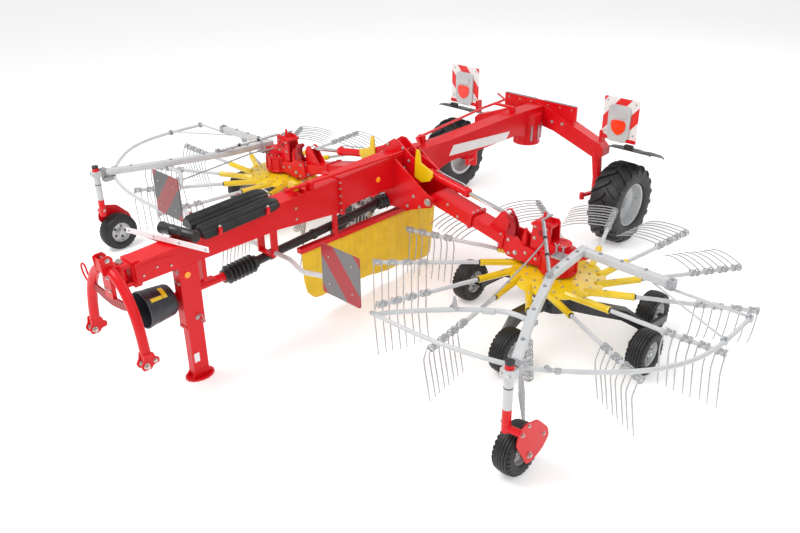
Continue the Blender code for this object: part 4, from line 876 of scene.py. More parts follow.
def corrugated(low, high, count, ends):
    """Profile of a rubber bellows: (radius, share), with a plain cuff at both ends."""
    profile = [(low + ends, 0.0), (low + ends, 0.05), (low, 0.07)]
    for i in range(count):
        a = 0.07 + 0.86 * i / count
        b = 0.86 / count
        profile += [(low, a + b * 0.08), (high - 0.004, a + b * 0.38), (high, a + b * 0.46),
            (high, a + b * 0.54), (high - 0.004, a + b * 0.62), (low, a + b * 0.92)]
    return profile + [(low, 0.93), (low + ends, 0.95), (low + ends, 1.0)]


def drive_height(y):
    for (y0, z0), (y1, z1) in zip(DRIVE_PATH, DRIVE_PATH[1:]):
        if y <= y1:
            return blend(z0, z1, (y - y0) / (y1 - y0))
    return DRIVE_PATH[-1][1]


def drive_line():
    def at(y):
        return Vector((DRIVE_X, y, drive_height(y)))
    red, black = Shape(), Shape()
    lathe(red, at(-2.369), at(-1.8), [(0.05, 0.0), (0.05, 0.03), (0.036, 0.04), (0.036, 0.9), (0.042, 0.91),
        (0.042, 1.0)])
    red.box((DRIVE_X - 0.035, -2.16, 0.782), (DRIVE_X + 0.035, -1.94, 0.79))
    lathe(black, at(-1.845), at(-1.5), corrugated(0.055, 0.084, 7, 0.004), 36)
    black.tube(smooth_path([at(y) for y in (-1.53, -0.95, -0.35, 0.02)]), 0.041, 24)
    for y in (-1.35, -0.85, -0.4):
        lathe(black, at(y), at(y + 0.045), band(0.043, 0.049, 0.15), 28)
    lathe(black, at(-0.02), at(0.385), corrugated(0.05, 0.073, 8, 0.004), 36)
    steel = Shape()
    teeth = 24
    section = []
    for i in range(teeth):
        for share, radius in ((0.1, 0.0155), (0.3, 0.0175), (0.7, 0.0175), (0.9, 0.0155)):
            a = 2 * math.pi * (i + share) / teeth
            section.append((radius * math.cos(a), radius * math.sin(a)))
    steel.sweep([at(-2.369) + Vector((0, y, 0)) for y in (-0.111, -0.02, 0.0)], section)
    return red, black, steel


def pto_cup():
    centre = Vector((DRIVE_X, 0, DRIVE_PATH[0][1]))
    profile = [(0.15, -2.63), (0.158, -2.63), (0.16, -2.622), (0.157, -2.612), (0.15, -2.56),
        (0.148, -2.552), (0.15, -2.545), (0.136, -2.395), (0.128, -2.376), (0.112, -2.3705),
        (0.06, -2.3705), (0.052, -2.378), (0.105, -2.38), (0.124, -2.395), (0.144, -2.56), (0.151, -2.62)]
    return Shape().spin(profile, centre, "Y", 48)


def label_patch(centre, radius_front, radius_rear, y0, y1, turn0, turn1, lift=0.0012):
    """A thin plate bent round the guard cup."""
    shape = Shape()
    steps = 10
    ends = ((y0, radius_front), (y1, radius_rear))
    rings = []
    for i in range(steps + 1):
        a = math.radians(blend(turn0, turn1, i / steps))
        outer = [centre + polar("Y", r + lift, a, y) for y, r in ends]
        rings.append(outer + [centre + polar("Y", r - 0.001, a, y) for y, r in ends[::-1]])
    return shape.loft(rings)


def jack_details():
    grey, amber, label, red = Shape(), Shape(), Shape(), Shape()
    face_y = JACK_Y - 0.09
    amber.disc((JACK_X + 0.05, JACK_Y - 0.02, 0.985), "X", 0.026, 0.0, 0.01, 28)
    grey.tube(smooth_path([(JACK_X + 0.05, JACK_Y + 0.03, 0.6), (JACK_X + 0.085, JACK_Y + 0.035, 0.61),
        (JACK_X + 0.105, JACK_Y + 0.045, 0.57), (JACK_X + 0.085, JACK_Y + 0.05, 0.53),
        (JACK_X + 0.055, JACK_Y + 0.045, 0.545)]), 0.0045, 8)
    grey.disc((JACK_X, JACK_Y + 0.02, 0.575), "X", 0.012, -0.066, 0.062, 20)
    grey.disc((JACK_X, JACK_Y + 0.02, 0.575), "X", 0.02, 0.0505, 0.055, 20)
    for z in (0.92, 1.02):
        grey.bolt((JACK_X - 0.025, face_y, z), "Y", 0.018, -1)
        grey.bolt((JACK_X + 0.028, face_y, z), "Y", 0.018, -1)
    red.slab(JACK_X - 0.048, 0.5, JACK_X + 0.048, 0.525, 0.004, "Y", JACK_Y - 0.096, JACK_Y + 0.094)
    label.box((JACK_X + 0.0402, JACK_Y - 0.055, 0.16), (JACK_X + 0.0412, JACK_Y - 0.005, 0.245))
    rim = [(0.098, 0.0), (0.1035, 0.003), (0.104, 0.012), (0.101, 0.018), (0.094, 0.019), (0.088, 0.014),
        (0.0, 0.013), (0.0, 0.0)]
    foot = Shape().spin(rim, (0, 0, 0), "Z", 40)
    foot.points = [Vector((JACK_X + p.x * 0.95, JACK_Y + p.y * 1.25, p.z)) for p in foot.points]
    for side in (-1, 1):
        foot.prism([(JACK_Y - 0.1, 0.014), (JACK_Y + 0.1, 0.014), (JACK_Y + 0.072, 0.07),
            (JACK_Y - 0.072, 0.07)], "X", JACK_X + side * 0.04 - 0.004, JACK_X + side * 0.04 + 0.004)
    return grey, amber, label, red, foot


def make_front():
    head, pins = headstock()
    piece("headstock_arch", head, (RED, SHADE_RED), "headstock", "red_paint", ["headstock"], bevel=0.002)
    piece("headstock_pins", pins, BOLT, "headstock", "chromed_rod")
    piece("headstock_handle", handle_loop(), RED, "headstock", "red_paint")
    red, black, steel = drive_line()
    piece("drive_input_tube", red, RED, "frame", "red_paint")
    piece("drive_tube_and_bellows", black, BLACK, "frame", "black_plastic", ["drive_shaft"], smooth=50)
    piece("drive_splined_stub", steel, CHROME, "frame", "chromed_rod")
    piece("pto_guard_cup", pto_cup(), CUP, "frame", "black_plastic", ["pto_guard"])
    centre = Vector((DRIVE_X, 0, DRIVE_PATH[0][1]))
    patch = label_patch(centre, 0.1445, 0.1405, -2.485, -2.445, 40, 82)
    patch.merge(label_patch(centre, 0.1535, 0.1455, -2.6, -2.49, 40, 52))
    piece("pto_guard_label", patch, LABEL_YELLOW, "frame", "yellow_paint")
    grey, amber, label, red, foot = jack_details()
    piece("jack_pin_and_wire", grey, ZINC, "frame", "rim_grey")
    piece("jack_reflector", amber, GLOWING_AMBER, "frame", "red_paint")
    piece("jack_label", label, LABEL, "jack_leg", "white_coating")
    piece("jack_sleeve_collar", red, RED, "frame", "red_paint", bevel=0.002)
    piece("jack_foot_plate", foot, RED, "jack_leg", "red_paint", bevel=0.001)


# ---- parts on the beams --------------------------------------------------------------------------
BEAM_FACE, REAR_BEAM_FACE = 0.1005, 0.0905     # half widths of the beams
PANEL_HALF = 0.2115                            # half of a 0.423 m warning panel
CURTAIN_LOW_Y, CURTAIN_HIGH_Y, CURTAIN_TOP = -1.028, 0.812, 0.699


def front_beam_top(y):
    return blend(1.234, 1.328, (y + 2.7) / 2.1)


def ribbed_profile(middle_x, y0, y1, base_z, half_width, height):
    """A long black guard profile: a humped section with lengthwise ribs and a pointed rear end."""
    shape = Shape()
    ribs = 5
    def section(scale, lift):
        points = [(-half_width * scale, 0.0)]
        count = ribs * 6
        for i in range(count + 1):
            t = i / count
            x = blend(-half_width, half_width, t)
            dome = height * (1 - abs(2 * t - 1) ** 2.2)
            groove = 0.02 * (0.5 - 0.5 * math.cos(2 * math.pi * ribs * t)) ** 0.4 * (1 if 0 < i < count
                else 0)
            points.append((x * scale, (0.012 + dome - 0.02 + groove) * scale + lift))
        return points + [(half_width * scale, 0.0)]
    slope = (front_beam_top(y1) - front_beam_top(y0)) / (y1 - y0)
    stations = [(y0, 0.8, 0.0), (y0 + 0.012, 0.96, 0.0), (y0 + 0.04, 1.0, 0.0), (y1 - 0.13, 1.0, 0.0),
        (y1 - 0.07, 0.9, 0.0), (y1 - 0.02, 0.66, 0.0), (y1, 0.45, 0.0)]
    rings = []
    for y, scale, lift in stations:
        z = base_z + (y - y0) * slope
        rings.append([(middle_x + a, y, z + b) for a, b in section(scale, lift)])
    return shape.loft(rings)


def stack():
    black, red, grey = Shape(), Shape(), Shape()
    y0, y1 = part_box("tine_guard_stack")[0].y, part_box("tine_guard_stack")[1].y
    base = front_beam_top(y0) + 0.012
    black.merge(ribbed_profile(0.1, y0 + 0.005, y1 - 0.05, base, 0.088, 0.08))
    black.merge(ribbed_profile(-0.11, y0 + 0.03, y1 - 0.005, base + 0.006, 0.086, 0.08))
    for y in (y0 + 0.14, y1 - 0.22):
        z = front_beam_top(y)
        red.prism(rounded_outline([(-0.215, z + 0.0005), (0.2, z + 0.0005), (0.212, z + 0.05),
            (0.2, z + 0.075), (0.192, z + 0.072), (0.19, z + 0.02), (-0.2, z + 0.02), (-0.204, z + 0.08),
            (-0.218, z + 0.08)], 0.004), "Y", y - 0.014, y + 0.014)
        for x in (-0.004, 0.196, -0.208):
            grey.bolt((x, y, z + (0.02 if abs(x) < 0.1 else 0.074)), "Z", 0.016)
    return black, red, grey


def canister():
    """The tool tube with its ribbed end caps."""
    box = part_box("tool_tube")
    middle = (box[0] + box[1]) * 0.5
    turn = math.radians(13)
    ahead = Vector((math.cos(turn), math.sin(turn), 0))
    half_length = 0.192
    end_cap = [(0.03, 0.0), (0.046, 0.004), (0.05, 0.015), (0.05, 0.035), (0.047, 0.04), (0.05, 0.045),
        (0.05, 0.08), (0.046, 0.09), (0.0455, 0.3), (0.0475, 0.31), (0.0475, 0.34), (0.0455, 0.35)]
    shape = lathe(Shape(), middle - ahead * half_length, middle + ahead * half_length,
        end_cap + [(radius, 1 - share) for radius, share in end_cap[::-1]], 36)
    return shape


def panel_board(x, y, z, face_sign, shapes):
    """A square warning board with rounded corners and a rim, facing along Y."""
    board, rim, bolts = shapes
    half = PANEL_HALF
    outline = rounded_outline(rectangle(x - half, z - half, x + half, z + half), 0.02)
    board.prism(outline, "Y", y - 0.004, y + 0.004)
    for a, b in ((-0.6, 0.55), (0.6, 0.55), (-0.6, -0.55), (0.6, -0.55)):
        bolts.bolt((x + a * half, y + face_sign * 0.0045, z + b * half), "Y", 0.01, face_sign)
    for offset in (-half * 0.4, half * 0.4):
        rim.box((x + offset - 0.014, y - face_sign * 0.0045 - 0.006, z - half * 0.8),
            (x + offset + 0.014, y - face_sign * 0.0045 + 0.006, z + half * 0.8))


def make_front_panels():
    x, y, z = 1.194, -1.611, 1.114
    board, rim, bolts = Shape(), Shape(), Shape()
    panel_board(x, y, z, -1, (board, rim, bolts))
    tube = Shape().tube(smooth_path([(0.102, -1.39, 0.862), (0.3, -1.39, 0.862), (0.62, -1.52, 0.915),
        (0.9, -1.581, 1.0), (1.28, -1.581, 1.06)]), 0.0205, 20)
    tube.disc((1.28, -1.581, 1.06), "X", 0.0225, -0.004, 0.01, 20, tint=1)
    for at in (1.1, 1.26):
        bolts.box((at - 0.01, -1.604, 1.015), (at + 0.01, -1.556, 1.075))
    for side, sign in LEFT_AND_RIGHT:
        # Painted shade: the front boards' white and red stripes are given as dark grey and dark red, and
        # the right-hand board's pair is darker still than the left-hand one.
        grey, red = ((0.15, 0.145, 0.15), (0.36, 0.006, 0.012)) if sign > 0 else ((0.05, 0.05, 0.053),
            (0.26, 0.006, 0.01))
        stripes = striped_skin("warning_stripes_front_painted_shade_" + side, grey, red, (x * sign, z), sign * 1.15, 0.5,
            0.75)
        back = new_skin("panel_back_" + side, (0.2, 0.2, 0.21), 0.4, metallic=0.5, coat=0.2)
        items = ((board, "board", (stripes,)), (rim, "rim", (back,)), (bolts, "bolts", (BOLT,)),
            (tube, "tube", (SHADE_GREYED_WHITE, BLACK)))
        for shape, label, skins in items:
            stands_for = ["front_warning_panel_" + side] if label == "board" else ()
            piece("front_panel_%s_%s" % (label, side), shape if sign > 0 else shape.mirrored(), skins,
                "frame", "white_coating", stands_for, bevel=0.001 if label == "rim" else 0)


def make_rear_panels():
    x, y, z = 1.084, 2.602, 1.381
    half = PANEL_HALF
    board, red, white, clear, lens, black, bolts = (Shape() for _ in range(7))
    outline = rounded_outline(rectangle(x - half, z - half, x + half, z + half), 0.02)
    board.prism(outline, "Y", y - 0.004, y + 0.003)
    housing = rounded_outline([(x - 0.135, 1.19), (x - 0.105, 1.115), (x + 0.09, 1.115), (x + 0.125, 1.19),
        (x + 0.128, 1.49), (x + 0.09, 1.52), (x - 0.09, 1.52), (x - 0.135, 1.49)], 0.03)
    white.prism(housing, "Y", y - 0.03, y - 0.004)
    lens.prism(rounded_outline([(x - 0.085, 1.25), (x + 0.0, 1.18), (x + 0.085, 1.25), (x + 0.09, 1.36),
        (x - 0.09, 1.36)], 0.05), "Y", y - 0.04, y - 0.029)
    clear.prism(rounded_outline([(x - 0.09, 1.38), (x + 0.09, 1.38), (x + 0.085, 1.48), (x - 0.085, 1.48)],
        0.03), "Y", y - 0.038, y - 0.029)
    # The red reflector behind the board, in the glowing red lens material: painted glow.
    lens.slab(x - 0.13, 1.24, x + 0.13, 1.44, 0.03, "Y", y + 0.003, y + 0.028)
    red.slab(x - 0.215, 1.125, x + 0.215, 1.165, 0.01, "Y", y - 0.018, y - 0.003)
    red.box((x - 0.225, y - 0.022, 1.06), (x - 0.19, y + 0.06, 1.2))
    black.slab(x + 0.1, 1.06, x + 0.2, 1.11, 0.01, "Y", y - 0.04, y - 0.005)
    for a in (-0.17, 0.17):
        for b in (-0.17, 0.17):
            bolts.bolt((x + a, y - 0.0045, z + b), "Y", 0.012, -1)
    for side, sign in LEFT_AND_RIGHT:
        stripes = striped_skin("warning_stripes_rear_" + side, (0.84, 0.82, 0.81), (0.8, 0.02, 0.02),
            (x * sign, z), -sign * 1.15, 0.33, 0.3)
        items = ((board, "board", stripes, "white_coating"), (white, "housing", SHADE_GREYED_WHITE, "white_coating"),
            (clear, "clear_lens", LENS_CLEAR, "white_coating"), (lens, "red_lens_painted_glow", GLOWING_RED_LENS, "red_paint"),
            (red, "bracket", RED, "red_paint"), (black, "lamp_block", BLACK, "black_plastic"),
            (bolts, "bolts", BOLT, "rim_grey"))
        for shape, label, skin, slot in items:
            stands_for = ["rear_light_panel_" + side] if label == "board" else ()
            piece("rear_panel_%s_%s" % (label, side), shape if sign > 0 else shape.mirrored(), skin,
                "frame", slot, stands_for, bevel=0.0015 if label in ("housing", "clear_lens", "red_lens_painted_glow")
                else 0)


def curtain():
    """A ribbed plastic sheet hung under its rail, with rounded lower corners."""
    bottom = height_along([(-1.03, 0.66), (-1.022, 0.42), (-0.985, 0.27), (-0.912, 0.195), (-0.8, 0.165),
        (-0.3, 0.15), (0.35, 0.09), (0.7, 0.048), (0.76, 0.09), (0.8, 0.4), (0.812, 0.6)])
    shape = Shape()
    columns, rows = 184, 14
    points = []
    for i in range(columns + 1):
        y = blend(CURTAIN_LOW_Y, CURTAIN_HIGH_Y, i / columns)
        low = bottom(y)
        for j in range(rows + 1):
            z = blend(CURTAIN_TOP, low, j / rows)
            share = (i / columns) * 11.5
            rib = 0.0075 * max(0.0, math.cos(2 * math.pi * share)) ** 4
            wave = 0.012 * math.sin(2 * math.pi * share / 3.1 + 0.4) * (CURTAIN_TOP - z) / 0.55
            points.append((rib + wave, y, z))
    return shape.add(points, grid_faces(columns + 1, rows + 1, wrap=False))


def height_along(points):
    """The height of an edge at any place along Y, from a table of (y, z)."""
    def at(y):
        for (y0, z0), (y1, z1) in zip(points, points[1:]):
            if y <= y1:
                return blend(z0, z1, (y - y0) / max(y1 - y0, 1e-9))
        return points[-1][1]
    return at


def mudguard():
    """A thin arched shield over the rear wheel with rolled edges and lengthwise ribs."""
    shape = Shape()
    rings = []
    steps = 18
    for i in range(steps + 1):
        a = math.radians(blend(91, 128, i / steps))
        section = [(0.992, -0.012), (0.992, 0.003)]
        for low, high in ((1.03, 1.12), (1.19, 1.29), (1.36, 1.45)):
            section += [(low, 0.003), (low + 0.02, 0.008), (high - 0.02, 0.008), (high, 0.003)]
        section += [(1.488, 0.003), (1.488, -0.012), (1.48, -0.012), (1.48, -0.004), (1.0, -0.004),
            (1.0, -0.012)]
        rings.append([(x, REAR_WHEEL.y - (0.598 + lift) * math.cos(a),
            REAR_WHEEL.z + (0.598 + lift) * math.sin(a)) for x, lift in section])
    return shape.loft(rings)


def frame_details():
    """Bolts, plates and blank labels on the beams."""
    bolts, red, white, grey, yellow = Shape(), Shape(), Shape(), Shape(), Shape()
    for side in (-1, 1):
        for z in (1.03, 1.1, 1.17, 1.24, 1.3):
            bolts.bolt((side * 0.116, -0.614, z), "Y", 0.02, -1)
        for y, z in ((-2.64, 1.12), (-2.52, 1.15), (-2.4, 1.12)):
            bolts.bolt((side * BEAM_FACE, y, z), "X", 0.018, side)
        red.prism(rounded_outline([(-2.7, 1.085), (-2.46, 1.075), (-2.34, 1.11), (-2.36, 1.19),
            (-2.52, 1.215), (-2.7, 1.2)], 0.02), "X", side * 0.0995 - 0.004, side * 0.0995 + 0.004)
        for y, z in ((-1.13, 1.1), (-1.13, 1.2)):
            bolts.bolt((side * BEAM_FACE, y, z), "X", 0.014, side)
        # the boom pins' heads and the bolts of the fins
        pivot = (side * BOOM_PIVOT.x, 0, BOOM_PIVOT.z)
        bolts.disc((pivot[0], 0.088, pivot[2]), "Y", 0.038, -0.006, 0.008, 28)
        bolts.bolt((pivot[0], 0.082, pivot[2]), "Y", 0.034, -1)
        for x, z in ((0.44, 0.93), (0.36, 1.02), (0.28, 0.9)):
            bolts.bolt((side * x, 0.0995, z), "Y", 0.02, -1)
        for x, z in ((0.1, 1.41), (0.18, 1.3), (0.12, 1.22)):
            bolts.bolt((side * x, 0.2275, z), "Y", 0.02, -1)
        bolts.disc((side * BARREL_PIN.x, 0.226, BARREL_PIN.z), "Y", 0.03, -0.006, 0.006, 24)
        # rear beam: a long blank plate on each side
        panel = rounded_outline([(0.93, 1.145), (1.9, 1.075), (1.97, 1.165), (1.0, 1.245)], 0.01)
        white.prism(panel, "X", side * REAR_BEAM_FACE - 0.0015, side * REAR_BEAM_FACE + 0.0015)
        for k in range(3):
            a = math.radians(-35 + 35 * k)
            spot = Vector((side * 0.157 * math.cos(a), 2.43 + 0.157 * math.sin(a), 0))
            grey.box((spot.x - 0.006, spot.y - 0.01, 0.97), (spot.x + 0.006, spot.y + 0.01, 1.15))
        for x in (0.22, 0.36):
            bolts.bolt((side * x, 2.599, 1.16), "Y", 0.022, -1)
        grey.box((side * 0.05, 2.648, 1.3655), (side * 0.49, 2.678, 1.372))
        for x in (0.12, 0.28, 0.44):
            bolts.bolt((side * x, 2.649, 1.325), "Y", 0.012, -1)
    red.slab(-0.095, 1.3, 0.095, 1.338, 0.006, "Y", -1.095, -1.085)
    red.slab(-0.095, 1.3, 0.095, 1.338, 0.006, "Y", -1.015, -1.005)
    yellow.slab(-0.07, 1.315, 0.03, 1.395, 0.012, "Y", -1.07, -1.03)
    return bolts, red, white, grey, yellow


def hitch_reflector():
    plate, tape, bolts = Shape(), Shape(), Shape()
    turn = Matrix.Translation((0, -2.345, 0)) @ Matrix.Rotation(math.radians(16), 4, "Z")
    low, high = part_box("reflector_bar")
    strip = high.z - 0.046
    plate.prism([(-0.085, low.z + 0.0005), (0.085, low.z + 0.0005), (0.3, strip + 0.004),
        (-0.3, strip + 0.004)], "Y", -0.005, 0.003)
    tape.slab(-0.418, strip, 0.418, high.z, 0.004, "Y", -0.01, -0.004)
    for x in (-0.39, -0.13, 0.13, 0.39):
        bolts.bolt((x, -0.01, strip + 0.023), "Y", 0.012, -1)
    return plate.turned(turn), tape.turned(turn), bolts.turned(turn)


def make_frame_parts():
    black, red, grey = stack()
    piece("spare_guard_profiles", black, BLACK, "frame", "black_plastic", ["tine_guard_stack"], smooth=28)
    piece("profile_holders", red, RED, "frame", "red_paint", bevel=0.001)
    piece("profile_holder_bolts", grey, BOLT, "frame", "rim_grey")
    piece("tool_canister", canister(), BLACK, "frame", "black_plastic", ["tool_tube"])
    make_front_panels()
    make_rear_panels()
    plate, tape, bolts = hitch_reflector()
    piece("reflector_bracket", plate, RED, "frame", "red_paint")
    piece("reflector_strip", tape, REFLECT_WHITE, "frame", "white_coating", ["reflector_bar"])
    amber = Shape().disc((0.1004, -0.12, 1.185), "X", 0.026, 0.0, 0.009, 28)
    amber.disc((-0.1004, -0.12, 1.185), "X", 0.026, -0.009, 0.0, 28)
    piece("beam_reflectors", amber, GLOWING_AMBER, "frame", "red_paint")
    piece("reflector_bolts", bolts, BOLT, "frame", "rim_grey")
    item = piece("swath_curtain_sheet", curtain(), CURTAIN, "frame", "curtain_sheet", ["swath_curtain"],
        smooth=60)
    thick = item.modifiers.new("Solidify", "SOLIDIFY")
    thick.thickness = 0.004
    both("mudguard_shield_{}", mudguard(), BLACK, "knuckle_{}", "black_plastic", ["mudguard_{}"])
    bolts, red, white, grey, yellow = frame_details()
    piece("frame_bolts", bolts, BOLT, "frame", "rim_grey")
    piece("beam_nose_plates", red, RED, "frame", "red_paint", bevel=0.0015)
    piece("rear_beam_blank_plates", white, LABEL, "frame", "white_coating")
    piece("frame_grey_trim", grey, ZINC, "frame", "rim_grey")
    piece("steering_rod_clamp", yellow, YELLOW, "frame", "yellow_paint", bevel=0.002)


# ---- guards and rotor heads ----------------------------------------------------------------------
BEAM_Z = 0.944
SENSE_X, SENSE_Y, POST_Y = 2.742, -1.401, -1.54


def guard():
    tube, steel = Shape(), Shape()
    square = rounded_section(0.034, 0.034, 0.008)
    leader = [(2.115, 0.345, BEAM_Z), (2.185, -0.25, BEAM_Z), (2.445, -0.88, 0.93), (2.715, -1.44, 0.915)]
    outrigger = [(2.16, 0.3, BEAM_Z), (2.97, 0.265, BEAM_Z)]
    tube.sweep(round_bends(leader, 0.05), square)
    tube.sweep(outrigger, square)
    hoop = smooth_path([(x, y, HOOP_Z) for x, y in HOOP_PATH], 5)
    tube.tube(hoop, 0.018, 18)
    tube.tube(smooth_path([(2.46, -0.87, 0.89), (2.2, -0.86, 0.87), (1.9, -1.05, 0.855),
        (1.6, -1.36, HOOP_Z), (1.48, -1.531, HOOP_Z)], 7), 0.0205, 18)
    # flat end tabs of the hoop
    tube.slab(1.428, -0.02, 1.5, 0.02, 0.015, "Z", HOOP_Z - 0.004, HOOP_Z + 0.004)
    for p in tube.points[-2 * 20:]:     # two rings of four corners, five points each
        p.y += HOOP_PATH[0][1]
    # rods from the outrigger to the hoop
    for end_y, start_x in ((0.33, 2.9), (-0.1, 2.8)):
        end = Vector((3.572 if end_y > 0 else 3.573, end_y, HOOP_Z + 0.012))
        start = Vector((start_x, 0.27, BEAM_Z - 0.045))
        tube.tube([start, blend(start, end, 0.5), end], 0.0125 if end_y > 0 else 0.008, 12)
        steel.box((end.x - 0.026, end.y - 0.02, HOOP_Z - 0.024), (end.x + 0.018, end.y + 0.02,
            HOOP_Z + 0.026))
        steel.bolt((end.x, end.y, HOOP_Z + 0.026), "Z", 0.016)
    # rounded clamp at the outrigger's end and at the hub
    steel.box((2.93, 0.225, BEAM_Z - 0.04), (2.985, 0.305, BEAM_Z + 0.04))
    steel.bolt((2.957, 0.265, BEAM_Z + 0.04), "Z", 0.022)
    steel.box((2.655, -1.49, HOOP_Z - 0.022), (2.735, -1.36, HOOP_Z + 0.024))
    steel.box((2.672, -1.455, HOOP_Z + 0.02), (2.718, -1.385, 0.905))
    steel.box((SENSE_X - 0.05, -1.4945, 0.875), (SENSE_X + 0.04, -1.425, 0.955))
    steel.box((2.395, -0.905, 0.866), (2.48, -0.84, 0.905))
    steel.prism(rounded_outline([(1.825, 0.858), (1.915, 0.858), (1.905, 0.915), (1.885, 0.975),
        (1.868, 0.975), (1.862, 0.915)], 0.012), "Y", -1.085, -1.077)
    lathe(tube, (2.05, -0.952, 0.86), (2.13, -0.905, 0.864), [(0.0245, 0.0), (0.0245, 1.0)], 20)
    near = Vector((2.905, -1.24, HOOP_Z))
    lathe(steel, near, near + Vector((0.03, 0.02, 0)), band(0.0235, 0.0245, 0.2), 22)
    steel.prism([(2.84, HOOP_Z + 0.012), (2.9, HOOP_Z + 0.012), (2.895, HOOP_Z + 0.04),
        (2.87, HOOP_Z + 0.052), (2.845, HOOP_Z + 0.04)], "Y", -1.285, -1.277)
    for x, y in ((2.132, 0.2), (2.155, 0.02), (2.175, -0.16), (2.28, -0.48), (2.42, -0.82), (2.6, -1.2)):
        z = BEAM_Z + 0.034 if y > -0.3 else blend(BEAM_Z, 0.915, min(1.0, (-0.25 - y) / 1.19)) + 0.034
        steel.bolt((x, y, z - 0.001), "Z", 0.022)
    for x in (2.3, 2.5, 2.72):
        steel.bolt((x, 0.292, BEAM_Z + 0.033), "Z", 0.022)
    return tube, steel


def round_bends(points, reach, steps=4):
    """The same path with its inner corners rounded."""
    points = [Vector(p) for p in points]
    path = [points[0]]
    for i in range(1, len(points) - 1):
        here = points[i]
        a = here + (points[i - 1] - here).normalized() * reach
        b = here + (points[i + 1] - here).normalized() * reach
        path += bezier(a, here, b, steps)
    return path + [points[-1]]


def sensing_post():
    white, red, black, bolts = Shape(), Shape(), Shape(), Shape()
    centre = (SENSE_X, POST_Y, 0)
    white.disc(centre, "Z", 0.0335, 0.62, 0.93, 28)
    black.disc(centre, "Z", 0.0345, 0.98, 1.005, 28)
    black.disc(centre, "Z", 0.035, 0.79, 0.8, 28)
    red.disc(centre, "Z", 0.0335, 0.43, 0.62, 28)
    red.disc(centre, "Z", 0.0335, 0.93, 0.981, 28)
    white.slab(SENSE_X - 0.05, POST_Y - 0.045, SENSE_X + 0.05, -1.4955, 0.012, "Z", 0.885, 0.945)
    for x in (-0.034, 0.034):
        bolts.bolt((SENSE_X + x, POST_Y - 0.045, 0.915), "Y", 0.016, -1)
    plate_x = SENSE_X + SMALL_W / 2 + 0.022
    red.tube(smooth_path([(SENSE_X, POST_Y, 0.47), (SENSE_X + 0.045, POST_Y + 0.004, 0.462),
        (plate_x + 0.006, POST_Y + 0.02, 0.455)]), 0.028, 18)
    outline = [(-1.56, 0.36), (-1.54, 0.45), (-1.47, 0.505), (-1.32, 0.465), (-1.19, 0.33), (-1.165, 0.245),
        (-1.24, 0.165), (-1.36, 0.125), (-1.43, 0.135), (-1.5, 0.26)]
    red.prism(rounded_outline(outline, 0.03), "X", plate_x, plate_x + 0.009)
    bolts.disc((0, SENSE_Y, SMALL_R), "X", 0.02, SENSE_X + 0.0645, plate_x + 0.003, 20)
    for y, z, size in ((SENSE_Y, SMALL_R, 0.03), (-1.5, 0.43, 0.02), (-1.43, 0.47, 0.018),
            (-1.24, 0.3, 0.018)):
        bolts.bolt((plate_x + 0.0085, y, z), "X", size)
    bolts.bolt((SENSE_X - 0.034, POST_Y, 0.5), "X", 0.018, -1)
    return white, red, black, bolts


def boom_point(along, y, up):
    normal = Vector((-BOOM_AXIS.z, 0, BOOM_AXIS.x))
    return Vector((BOOM_PIVOT.x, ROTOR.y, BOOM_PIVOT.z)) + BOOM_AXIS * along + normal * up + Vector((0, y,
        0))


